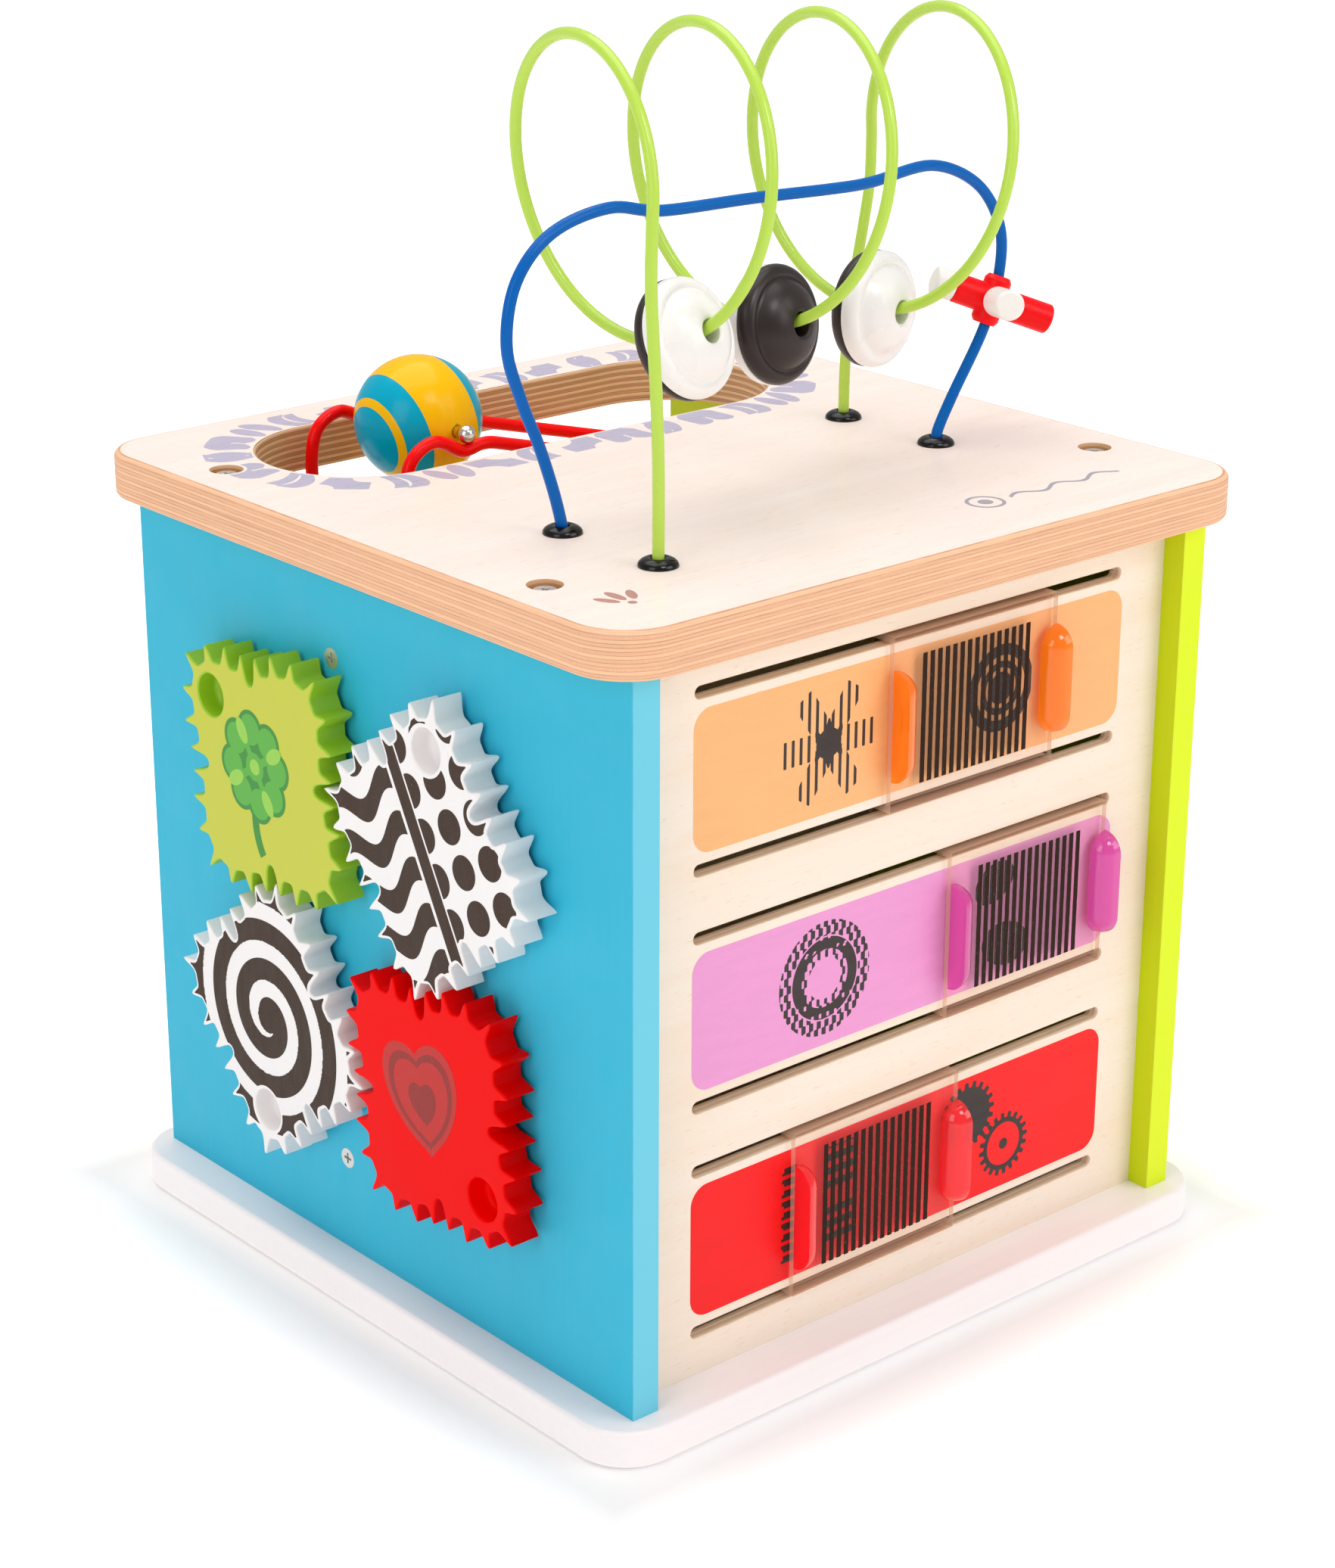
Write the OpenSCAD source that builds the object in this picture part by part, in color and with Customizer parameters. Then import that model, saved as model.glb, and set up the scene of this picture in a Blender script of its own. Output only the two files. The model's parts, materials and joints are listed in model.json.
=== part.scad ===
// Wooden activity cube: a panelled box on a base board, with four square
// gears on one side, three sliding windows on the front, a banked ball on
// two rails set into the top, and a coiled wire and an arched wire above it.
// All sizes are in millimetres. The origin is the centre of the underside.
// The front, with the sliders, faces -Y and the gears face -X.

/* [Node] */
// Sub-part to draw, or all

/* [Box] */
// Side of the square top and base boards
board_w = 320; // [300:5:340]
// Corner radius of the boards
board_corner = 24; // [12:1:30]
// Thickness of the base board
base_t = 15; // [12:1:20]
// Thickness of the plywood top board
top_t = 18; // [15:1:22]
// Height of the panels between the two boards
body_h = 285; // [275:1:300]
// Outer width across the two side panels
body_w = 290; // [286:1:294]
// Depth of the side panels, front to back
body_d = 300; // [296:1:306]
// Thickness of the side panels
side_t = 12; // [11:0.5:13]
// Thickness of the slotted front panel
front_t = 6; // [5:0.5:8]
// How far the front panel sits behind the side panels' front edges
front_inset = 10; // [6:1:14]
// Thickness of the cross board inside the box
inner_t = 12; // [10:1:14]
// Position of the cross board, front to back
inner_y = 23; // [20:1:26]

/* [Opening in the top] */
// Length of the round-ended opening
cut_l = 242; // [230:1:250]
// Width of the opening
cut_w = 82; // [80:1:86]
// Centre of the opening, left to right
cut_x = -1; // [-4:1:4]
// Centre of the opening, front to back
cut_y = 89; // [87:1:91]

/* [Fasteners] */
// Diameter of the counterbores in the boards
bore_d = 12.5; // [11:0.5:14]
// Depth of the counterbores
bore_depth = 4; // [2:0.5:6]
// Screw head diameter
head_d = 8.4; // [7:0.2:9]
// Screw shank diameter
shank_d = 4; // [3:0.2:4.4]

/* [Gears] */
// Distance between neighbouring gear centres
gear_pitch = 102.4; // [102.4:0.2:103.4]
// Height of the middle of the gear group above the base board
gear_mid = 144.3; // [142:0.1:147]
// Gear thickness
gear_t = 13; // [11:0.5:14]
// Gap between gear and panel
gear_gap = 2; // [1:0.5:4]
// Turn of the gear group from the square position
gear_turn = 52; // [0:1:90]
// Finger hole diameter
finger_d = 17; // [14:0.5:19]
// Finger hole distance from the gear centre
finger_r = 40; // [36:0.5:41]
// Finger hole depth
finger_depth = 9; // [5:0.5:10]
// Hub diameter where it turns in the panel
hub_d = 16; // [14:0.5:18]

/* [Sliders] */
// Distance between slider rows
row_pitch = 92; // [88:1:94]
// Length of each slot
slot_l = 217; // [210:1:220]
// Height of each slot
slot_h = 4.8; // [4.4:0.1:5.2]
// Distance between the two slots of a row
slot_gap = 66.2; // [65.6:0.1:67]
// Slider window width
win_w = 86; // [80:1:90]
// Slider window height over its top and bottom walls
win_h = 67.8; // [67:0.1:68.4]
// Slider window wall thickness
win_t = 2.4; // [2:0.1:2.6]
// Rest position of the upper slider
slide_1 = 27.5; // [-60:0.5:60]
// Rest position of the middle slider
slide_2 = 61; // [-60:0.5:62]
// Rest position of the lower slider
slide_3 = -17; // [-60:0.5:60]
// Radius of the finger grips
grip_r = 8.6; // [7.6:0.2:9.6]
// Height of the finger grips
grip_h = 43; // [38:1:46]

/* [Wires and beads] */
// Wire diameter
wire_d = 4.4; // [4:0.1:4.6]
// Half the distance between the two feet of each wire
foot_x = 95; // [93:1:96]
// Front to back position of the arched wire
arch_y = -52.5; // [-54:0.5:-51]
// Half the front to back depth of the coil
coil_y = 52.5; // [51:0.5:54]
// Half the height of the coil
coil_z = 55.7; // [54:0.1:57]
// Height of the coil axis above the top board at its first loop
coil_mid = 120.6; // [118:0.1:122]
// Bead diameter
bead_d = 44.5; // [42:0.5:46]
// Bead thickness
bead_t = 27; // [25:0.5:28]
// Bore through the beads
bead_bore = 9; // [9:0.1:9.6]
// Spinner arm diameter
arm_d = 11.8; // [11:0.1:12.4]
// Spinner arm length from the wire
arm_l = 25.2; // [22:0.2:28]

/* [Ball and rails] */
// Rail wire diameter
rail_d = 5.2; // [4.6:0.1:5.4]
// Distance between the two rails
rail_gap = 62.4; // [61.4:0.1:64]
// Position of the middle of the rails, front to back
rail_y = 90; // [89:0.5:91]
// Ball diameter
ball_d = 51; // [48:0.5:54]
// Ball pin diameter
pin_d = 5; // [4:0.5:6]
// Diameter of the pin's round ends
knob_d = 7.3; // [6.6:0.1:7.4]

/* [Hidden] */
$fn = 64;
top_z = base_t + body_h + top_t;
under_z = base_t + body_h;
side_x = body_w / 2;
front_y = -body_d / 2 + front_inset;
gear_back = side_x + gear_gap;
gear_z = base_t + gear_mid;
row_z = base_t + 142.9;
screw_x = side_x - side_t / 2;
screw_y = 96.5;
lip = 4;
teeth = 28;
hump_x = -43.5;
hump_h = -20.5;
roll_r = 28.35;
roll_rest = 17.5;
pin_x = hump_x - roll_r * sin(roll_rest);
pin_z = top_z + hump_h + roll_r * cos(roll_rest);
hub_tilt = 23.6;
spin_turn = 29.5;
spin_lean = 4.6;
spin_at = [123.6, arch_y, top_z + 53.4];

// ---- shared shapes ----

// square board with rounded corners and softened edges
module soft_board(w, t, r, soft) {
    hull()
        for (x = [-1, 1], y = [-1, 1], s = [[0, 1], [0.3, 0.45], [1, 0]])
            translate([x * (w / 2 - r), y * (w / 2 - r), soft * s[0]])
                cylinder(h = t - 2 * soft * s[0], r = r - soft * s[1], $fn = 48);
}

// round-ended slot, long in X and open along Z
module slot_hole(l, w, h) {
    cube([l - w, w, h], center = true);
    for (x = [-1, 1])
        translate([x * (l - w) / 2, 0, 0])
            cylinder(h = h, d = w, center = true);
}

// countersunk cross-head screw, head up, top of the head at z = 0
module screw(l) {
    difference() {
        union() {
            translate([0, 0, -2.4])
                cylinder(h = 2.4, d1 = shank_d, d2 = head_d);
            translate([0, 0, -l])
                cylinder(h = l - 2.4, d = shank_d);
        }
        for (a = [0, 90])
            rotate([0, 0, a])
                cube([4.4, 1, 2.6], center = true);
    }
}

// the hole such a screw fills
module screw_hole(l) {
    translate([0, 0, -2.4])
        cylinder(h = 2.5, d1 = shank_d + 0.1, d2 = head_d + 0.3);
    translate([0, 0, -l - 1])
        cylinder(h = l + 0.5, d = shank_d + 0.1);
}

function unit(v) = v / norm(v);
function side_of(p, i) =
    i == 0 ? unit(p[1] - p[0]) :
    i == len(p) - 1 ? unit(p[i] - p[i - 1]) : unit(p[i + 1] - p[i - 1]);

// round wire along the points p; ref is a direction never along the wire
module bent_wire(p, ref, d, n = 10) {
    rings = [for (i = [0:len(p) - 1])
        let (t = side_of(p, i),
             g = is_undef(ref) ? [0, p[i][1] - arch_y, p[i][2] - top_z - coil_mid]
                               : ref,
             u = unit(g - (g * t) * t),
             v = cross(t, u))
        for (k = [0:n - 1])
            p[i] + d / 2 * (cos(k * 360 / n) * u + sin(k * 360 / n) * v)];
    last = (len(p) - 1) * n;
    polyhedron(rings, concat(
        [[for (k = [0:n - 1]) k]],
        [for (i = [0:len(p) - 2], k = [0:n - 1])
            [i * n + k, (i + 1) * n + k, (i + 1) * n + (k + 1) % n,
             i * n + (k + 1) % n]],
        [[for (k = [0:n - 1]) last + n - 1 - k]]));
}

// smooth curve through the points c, m steps to each span
function spline(c, m) = [
    for (i = [0:len(c) - 2], j = [0:m - 1])
        let (t = j / m,
             a = i == 0 ? 2 * c[0] - c[1] : c[i - 1],
             b = c[i], e = c[i + 1],
             f = i == len(c) - 2 ? 2 * e - b : c[i + 2])
        0.5 * (2 * b + t * (e - a) + t * t * (2 * a - 5 * b + 4 * e - f)
            + t * t * t * (3 * b - a - 3 * e + f)),
    c[len(c) - 1]];

// ---- box ----

module base_board() {
    color([0.93, 0.92, 0.92])
    difference() {
        soft_board(board_w, base_t, board_corner - 2, 2);
        for (x = [-1, 1], y = [-1, 1])
            translate([x * screw_x, y * screw_y, -1]) {
                cylinder(h = bore_depth + 1, d = bore_d);
                cylinder(h = base_t + 2, d = shank_d + 0.1);
            }
    }
}

module top_board() {
    color([0.96, 0.90, 0.86])
    difference() {
        translate([0, 0, under_z])
            soft_board(board_w, top_t, board_corner, 2.5);
        translate([cut_x, cut_y, under_z + top_t / 2])
            slot_hole(cut_l, cut_w, top_t + 2);
        for (x = [-1, 1], y = [-1, 1])
            translate([x * screw_x, y * screw_y, 0]) {
                translate([0, 0, top_z - bore_depth])
                    cylinder(h = bore_depth + 1, d = bore_d);
                translate([0, 0, under_z - 1])
                    cylinder(h = top_t + 2, d = shank_d + 0.1);
            }
        for (f = [[-1, -1], [1, 1]])
            translate([f[0] * foot_x, arch_y + f[1] * coil_y, top_z - 14])
                cylinder(h = 15, d = wire_d + 0.3);
        for (x = [-1, 1])
            translate([x * foot_x, arch_y, top_z - 14])
                cylinder(h = 15, d = wire_d + 0.3);
    }
}

// plain side panel, outer face at x = 0 and inner face at x = side_t
module side_panel() {
    translate([0, -body_d / 2, base_t])
        cube([side_t, body_d, body_h]);
}

module board_screw_holes() {
    for (y = [-1, 1]) {
        translate([screw_x, y * screw_y, base_t - 1])
            cylinder(h = 32, d = shank_d + 0.1);
        translate([screw_x, y * screw_y, under_z - 31])
            cylinder(h = 32, d = shank_d + 0.1);
    }
}

module panel_screw_places() {
    for (z = [39.5, 247])
        translate([-side_x, inner_y, base_t + z])
            rotate([0, -90, 0])
                children();
}

module left_panel() {
    color([0.25, 0.70, 0.85])
    difference() {
        translate([-side_x, 0, 0])
            side_panel();
        mirror([1, 0, 0])
            board_screw_holes();
        panel_screw_places()
            screw_hole(34);
        for (y = [-1, 1], z = [-1, 1])
            translate([-side_x - 1, y * gear_pitch / 2, gear_z + z * gear_pitch / 2])
                rotate([0, 90, 0])
                    cylinder(h = side_t + 2, d = hub_d + 0.12);
        for (y = [-1, 1])
            translate([-side_x + 3.9, rail_y + y * rail_gap / 2, top_z - 47])
                rotate([0, 90, 0])
                    cylinder(h = 10, d = rail_d + 0.2);
    }
}

module right_panel() {
    color([0.80, 0.90, 0.15])
    difference() {
        translate([side_x - side_t, 0, 0])
            side_panel();
        board_screw_holes();
        mirror([1, 0, 0])
            panel_screw_places()
                screw_hole(34);
        for (y = [-1, 1])
            translate([side_x - 4, rail_y + y * rail_gap / 2, top_z - 46.73])
                rotate([0, -74.9, 0])
                    cylinder(h = 12, d = rail_d + 0.4);
    }
}

module front_panel() {
    color([0.99, 0.92, 0.84])
    difference() {
        translate([-side_x + side_t, front_y, base_t])
            cube([body_w - 2 * side_t, front_t, body_h]);
        for (r = [-1:1], s = [-1, 1])
            translate([0, front_y + front_t / 2, row_z + r * row_pitch + s * slot_gap / 2])
                rotate([90, 0, 0])
                    slot_hole(slot_l, slot_h, front_t + 2);
    }
}

module cross_board() {
    color([0.95, 0.86, 0.74])
    difference() {
        translate([-side_x + side_t, inner_y - inner_t / 2, base_t])
            cube([body_w - 2 * side_t, inner_t, body_h]);
        for (m = [0, 1])
            mirror([m, 0, 0])
                panel_screw_places()
                    screw_hole(34);
    }
}

module board_screws() {
    color([0.75, 0.75, 0.77])
    for (x = [-1, 1], y = [-1, 1])
        translate([x * screw_x, y * screw_y, 0]) {
            translate([0, 0, top_z - bore_depth + 2.4])
                screw(42);
            translate([0, 0, bore_depth - 2.4])
                rotate([180, 0, 0])
                    screw(36);
        }
}

module panel_screws() {
    color([0.75, 0.75, 0.77])
    for (m = [0, 1])
        mirror([m, 0, 0])
            panel_screw_places()
                screw(34);
}

// ---- wires, rails and ball ----

// the coil makes three and a half turns; s goes from 0 to 1 along it
coil_end = 1260;
coil_drop = 8;
coil_left = 98;
coil_right = 107;

function coil_x(s) =
    (coil_left + coil_right) * s - coil_left - 6 * sin(180 * s)
    + (6.6 * s - 2.8) * sin(s * coil_end);
function coil_point(a) =
    let (s = a / coil_end)
    [coil_x(s), arch_y - coil_y * cos(a),
     top_z + coil_mid - coil_drop * s * s + coil_z * sin(a)];

// legs lean out a little on their way up; m is the slope they run into the coil with
function lean(h, top, m) =
    let (t = max(h, 0) / top)
    (0.664 + m) * pow(t, 2) + (2.672 - 3 * m) * pow(t, 3) + (2 * m - 2.336) * pow(t, 4);
coil_path = concat(
    [for (h = [-13.8, 0, 20, 40, 60, 80, 100])
        [-foot_x - (coil_left - foot_x) * lean(h, coil_mid, -4), arch_y - coil_y,
         top_z + h]],
    [for (a = [0:10:coil_end]) coil_point(a)],
    [for (h = [95, 80, 60, 40, 20, 0, -13.8])
        [foot_x + (coil_right - foot_x) * lean(h, coil_mid - coil_drop, -1.06),
         arch_y + coil_y,
         top_z + h]]);

// arched wire: x and height above the top board
arch_shape = [[-95, -13.8], [-95, -3], [-95.2, 2], [-99, 16], [-105.5, 34],
    [-113, 51], [-119.5, 72], [-115, 94], [-99, 109], [-73, 114.6], [-48, 110.5],
    [-4, 109.5], [36, 108], [56, 108], [88, 110.5], [113, 100.5], [126.5, 83],
    [127.5, 64], [120, 43], [104, 19], [96.6, 7], [95.1, 2], [95, -3], [95, -13.8]];

// rail: x and height above the top board, left end to right end
rail_shape = [[-140.8, -47], [-122, -47], [-102, -47], [-90, -44.4], [-83.6, -37],
    [-82, -25], [-82, -12], [-80, -1.4], [-74.5, 4.1], [-68, 6], [-62.5, 4.5],
    [-58, 1.9], [-54.2, 0.2], [-50.3, 0.42], [-46.9, 1.23], [-43.5, 1.5],
    [-40.6, 1.31], [-37.8, 0.74], [-30, -1.36], [20, -14.7], [80, -30.5],
    [140.5, -46.5]];

module coil_wire() {
    color([0.62, 0.85, 0.25])
        bent_wire(coil_path, undef, wire_d, 10);
}

module arch_wire() {
    color([0.05, 0.35, 0.70])
        bent_wire([for (p = spline(arch_shape, 4)) [p[0], arch_y, top_z + p[1]]],
            [0, 1, 0], wire_d, 10);
}

module wire_caps() {
    color([0.08, 0.08, 0.09])
    for (f = [[-foot_x, arch_y - coil_y], [foot_x, arch_y + coil_y],
              [-foot_x, arch_y], [foot_x, arch_y]])
        translate([f[0], f[1], top_z])
            rotate_extrude()
                polygon([[2.9, 0], [7.4, 0], [7.35, 0.9], [6.7, 2], [5.4, 2.8],
                         [3.9, 3.2], [2.9, 3.3]]);
}

module ball_rails() {
    color([0.90, 0.08, 0.08])
    for (y = [-1, 1])
        bent_wire([for (p = spline(rail_shape, 2))
            [p[0], rail_y + y * rail_gap / 2, top_z + p[1]]], [0, 1, 0], rail_d, 10);
}

module ball() {
    color([0.98, 0.72, 0.03])
    difference() {
        translate([pin_x, rail_y, pin_z])
            sphere(d = ball_d);
        translate([pin_x, rail_y, pin_z])
            rotate([90, 0, 0])
                cylinder(h = ball_d + 2, d = pin_d + 0.12, center = true);
    }
}

module ball_pin() {
    color([0.80, 0.80, 0.82])
    translate([pin_x, rail_y, pin_z]) {
        rotate([90, 0, 0])
            cylinder(h = rail_gap, d = pin_d, center = true);
        for (y = [-1, 1])
            translate([0, y * rail_gap / 2, 0])
                sphere(d = knob_d);
    }
}

// ---- gears ----

// distance of the pitch line from the centre, and its slope
function gear_r(a) = gear_pitch / 2 - 2.05 + 5.75 * cos(4 * a) - 0.17 * cos(12 * a);
function gear_dr(a) = -23 * sin(4 * a) + 2.04 * sin(12 * a);
// tooth wave: narrow teeth and wide gaps
function wave(a) = 2 * pow((1 + cos(teeth * a)) / 2, 3.5) - 1;
function near(a, w) = exp(-pow(a / w, 2));
function to_corner(a) = (a + 45) % 90 - 45;
function to_side(a) = a % 90 - 45;
function tooth(a) =
    3.26 * (1 - 0.13 * cos(4 * a) - 0.2 * cos(8 * a)) * wave(a)
    + 4 * near(to_corner(a), 4) * max(wave(a), 0)
    - 5.1 * near(to_side(a), 4.75) * max(-wave(a), 0);
function gear_point(a) =
    let (r = gear_r(a), d = gear_dr(a), c = cos(a), s = sin(a),
         t = unit([d * c - r * s, d * s + r * c]))
    [r * c + tooth(a) * t[1], r * s - tooth(a) * t[0]];

// square gear, back face at z = 0, turned so that a corner points to turn
module square_gear(turn, finger) {
    difference() {
        union() {
            rotate([0, 0, turn])
                linear_extrude(gear_t)
                    polygon([for (i = [0:teeth * 14 - 1])
                        gear_point(i * 360 / (teeth * 14))]);
            translate([0, 0, -gear_gap + 0.1])
                cylinder(h = gear_gap, d = hub_d + 8);
            translate([0, 0, -gear_gap - side_t - 0.5])
                cylinder(h = gear_gap + side_t + 1, d = hub_d);
        }
        rotate([0, 0, finger])
            translate([finger_r, 0, gear_t - finger_depth])
                cylinder(h = finger_depth + 1, d = finger_d);
        translate([0, 0, -gear_gap - side_t - 1])
            cylinder(h = 15, d = 4.1);
    }
}

// places a gear in column c and row r of the group
module gear_place(c, r) {
    translate([-gear_back, -c * gear_pitch / 2, gear_z + r * gear_pitch / 2])
        rotate([90, 0, -90])
            children();
}

// flanged screw that holds a gear from inside the box
module gear_screw() {
    translate([0, 0, -gear_gap - side_t - 0.5])
        difference() {
            union() {
                translate([0, 0, -1.6])
                    cylinder(h = 1.6, d = hub_d + 8);
                translate([0, 0, -3.4])
                    cylinder(h = 2, d1 = 6, d2 = 9);
                cylinder(h = 13, d = 4);
            }
            for (a = [0, 90])
                rotate([0, 0, a])
                    translate([0, 0, -3.4])
                        cube([4.4, 1, 2.6], center = true);
        }
}

module gear_1() {
    color([0.80, 0.84, 0.33])
        gear_place(-1, 1)
            square_gear(gear_turn, 142);
}

module gear_2() {
    color([0.94, 0.92, 0.92])
        gear_place(1, 1)
            square_gear(135 - gear_turn, 86);
}

module gear_3() {
    color([0.94, 0.92, 0.92])
        gear_place(-1, -1)
            square_gear(135 - gear_turn, 264);
}

module gear_4() {
    color([0.94, 0.08, 0.06])
        gear_place(1, -1)
            square_gear(gear_turn, 321.5);
}

module gear_1_screw() {
    color([0.75, 0.75, 0.77])
        gear_place(-1, 1)
            gear_screw();
}

module gear_2_screw() {
    color([0.75, 0.75, 0.77])
        gear_place(1, 1)
            gear_screw();
}

module gear_3_screw() {
    color([0.75, 0.75, 0.77])
        gear_place(-1, -1)
            gear_screw();
}

module gear_4_screw() {
    color([0.75, 0.75, 0.77])
        gear_place(1, -1)
            gear_screw();
}

// ---- sliders ----

// clear window: front plate, walls through the slots, lips behind the panel
module window() {
    translate([-win_w / 2, -3, -win_h / 2])
        cube([win_w, win_t, win_h]);
    for (s = [-1, 1]) {
        translate([-win_w / 2, -1, s * (win_h - win_t) / 2 - win_t / 2])
            cube([win_w, front_t + 3.4, win_t]);
        translate([-win_w / 2, front_t + 0.4, s * (win_h / 2 + lip / 2 - 1) - lip / 2])
            cube([win_w, 2, lip]);
    }
}

// hollow quarter-round grip, flat face on the window's left edge
module grip() {
    intersection() {
        difference() {
            capsule(grip_r);
            intersection() {
                capsule(grip_r - 1.6);
                translate([1.6, -50, -50])
                    cube([100, 100, 100]);
            }
        }
        translate([0, -50, -50])
            cube([50, 50, 100]);
    }
}

module capsule(r) {
    cylinder(h = grip_h - 2 * grip_r, r = r, center = true);
    for (z = [-1, 1])
        translate([0, 0, z * (grip_h / 2 - grip_r)])
            sphere(r = r);
}

module slider_place(x, row) {
    translate([x, front_y, row_z + row * row_pitch])
        children();
}

module grips() {
    for (m = [0, 1])
        mirror([m, 0, 0])
            translate([-win_w / 2, -3, 0])
                grip();
}

module window_1() {
    color([0.95, 0.93, 0.92, 0.4])
        slider_place(slide_1, 1)
            window();
}

module grips_1() {
    color([0.98, 0.50, 0.08])
        slider_place(slide_1, 1)
            grips();
}

module window_2() {
    color([0.95, 0.93, 0.92, 0.4])
        slider_place(slide_2, 0)
            window();
}

module grips_2() {
    color([0.78, 0.27, 0.63])
        slider_place(slide_2, 0)
            grips();
}

module window_3() {
    color([0.95, 0.93, 0.92, 0.4])
        slider_place(slide_3, -1)
            window();
}

module grips_3() {
    color([0.86, 0.10, 0.20])
        slider_place(slide_3, -1)
            grips();
}

// ---- beads on the coil ----

// one half of a bead, flat face at z = 0
module bead_half() {
    rotate_extrude()
        polygon([[bead_bore / 2, 0], [bead_d / 2, 0], [bead_d / 2, 1.6],
            [bead_d / 2 - 0.5, 3.6], [bead_d / 2 - 1.6, 5.2], [bead_d / 2 - 3.2, 6],
            [bead_d / 2 - 4.6, 5.6], [bead_d / 2 - 5.8, 6.8], [bead_d / 2 - 8.2, 9.6],
            [bead_d / 2 - 11.2, 11.8], [bead_d / 2 - 14.2, 13],
            [bead_d / 2 - 16.8, bead_t / 2], [bead_bore / 2 + 0.6, bead_t / 2],
            [bead_bore / 2, bead_t / 2 - 0.6]]);
}

// sets its child on the coil at angle a, with z along the wire
module on_coil(a) {
    t = unit(coil_point(a + 0.5) - coil_point(a - 0.5));
    translate(coil_point(a))
        rotate([0, acos(t[2]), atan2(t[1], t[0])])
            children();
}

// where each bead rests on the coil, in degrees along it
bead_angle = [291, 639, 992];

module bead_1_front() {
    color([0.97, 0.96, 0.95])
        on_coil(bead_angle[0])
            bead_half();
}

module bead_1_back() {
    color([0.10, 0.08, 0.08])
        on_coil(bead_angle[0])
            mirror([0, 0, 1])
                bead_half();
}

module bead_2_front() {
    color([0.10, 0.08, 0.08])
        on_coil(bead_angle[1])
            bead_half();
}

module bead_2_back() {
    color([0.97, 0.96, 0.95])
        on_coil(bead_angle[1])
            mirror([0, 0, 1])
                bead_half();
}

module bead_3_front() {
    color([0.97, 0.96, 0.95])
        on_coil(bead_angle[2])
            bead_half();
}

module bead_3_back() {
    color([0.10, 0.08, 0.08])
        on_coil(bead_angle[2])
            mirror([0, 0, 1])
                bead_half();
}

// ---- spinner on the arched wire ----

// places its child with z along the wire and x to the first arm
module spinner_place() {
    translate(spin_at)
        rotate([0, hub_tilt, 0])
            rotate([0, 0, -spin_turn])
                rotate([spin_lean, 0, 0])
                    children();
}

module arm(from, to) {
    rotate([0, 90, 0])
        translate([0, 0, from]) {
            cylinder(h = to - from - 0.8, d = arm_d);
            translate([0, 0, to - from - 0.8])
                cylinder(h = 0.8, d1 = arm_d, d2 = arm_d - 1.6);
        }
}

module spinner_red() {
    color([0.95, 0.10, 0.12])
    spinner_place()
        difference() {
            union() {
                cylinder(h = 16, d = 11, center = true);
                for (m = [0, 1])
                    mirror([0, 0, m])
                        translate([0, 0, 8])
                            cylinder(h = 1.8, d1 = 11, d2 = 8.6);
                arm(0, arm_l);
                rotate([0, 0, 180])
                    arm(0, arm_l - 8.6);
                rotate([90, 0, 0])
                    cylinder(h = 16, d = arm_d - 0.4, center = true);
            }
            cylinder(h = 30, d = 7.2, center = true);
        }
}

module spinner_white() {
    color([0.97, 0.95, 0.94])
    spinner_place() {
        for (a = [90, -90])
            rotate([0, 0, a])
                arm(8.05, arm_l);
        rotate([0, 0, 180])
            arm(arm_l - 8.55, arm_l);
    }
}

base_board();
top_board();
left_panel();
right_panel();
front_panel();
cross_board();
board_screws();
panel_screws();
coil_wire();
arch_wire();
wire_caps();
ball_rails();
ball();
ball_pin();
gear_1();
gear_1_screw();
gear_2();
gear_2_screw();
gear_3();
gear_3_screw();
gear_4();
gear_4_screw();
window_1();
grips_1();
window_2();
grips_2();
window_3();
grips_3();
bead_1_front();
bead_1_back();
bead_2_front();
bead_2_back();
bead_3_front();
bead_3_back();
spinner_red();
spinner_white();
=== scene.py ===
import functools
import json
import math
import bmesh
import bpy
import numpy as np
from mathutils import Matrix, Vector
from mathutils.geometry import tessellate_polygon

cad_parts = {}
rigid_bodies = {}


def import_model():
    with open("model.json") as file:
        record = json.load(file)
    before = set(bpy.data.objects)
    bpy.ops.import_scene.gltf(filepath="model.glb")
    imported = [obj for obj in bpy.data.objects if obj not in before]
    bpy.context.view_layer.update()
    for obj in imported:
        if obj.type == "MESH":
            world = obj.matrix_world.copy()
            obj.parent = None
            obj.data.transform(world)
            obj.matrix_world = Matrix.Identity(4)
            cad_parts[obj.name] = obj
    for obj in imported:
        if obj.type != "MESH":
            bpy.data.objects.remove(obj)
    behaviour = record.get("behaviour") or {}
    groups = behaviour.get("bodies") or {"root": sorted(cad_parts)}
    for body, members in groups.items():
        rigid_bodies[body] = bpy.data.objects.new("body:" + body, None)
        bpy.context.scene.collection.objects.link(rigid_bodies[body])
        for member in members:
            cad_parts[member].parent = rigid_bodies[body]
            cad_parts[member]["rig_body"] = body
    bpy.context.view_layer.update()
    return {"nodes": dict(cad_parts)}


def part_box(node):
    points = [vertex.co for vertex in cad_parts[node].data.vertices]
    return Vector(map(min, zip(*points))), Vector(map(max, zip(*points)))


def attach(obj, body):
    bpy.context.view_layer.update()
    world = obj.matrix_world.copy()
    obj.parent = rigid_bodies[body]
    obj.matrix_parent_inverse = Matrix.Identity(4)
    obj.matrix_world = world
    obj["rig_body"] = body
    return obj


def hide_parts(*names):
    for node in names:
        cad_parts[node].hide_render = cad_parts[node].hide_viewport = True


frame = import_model()
MM = 0.001


# ---------------------------------------------------------------- where things are (mm)

def cosd(a):
    return np.cos(np.radians(a))


def sind(a):
    return np.sin(np.radians(a))


def box(node):
    lo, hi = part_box(node)
    return np.array(lo) * 1000, np.array(hi) * 1000


def centre(node):
    return sum(box(node)) / 2


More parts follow.
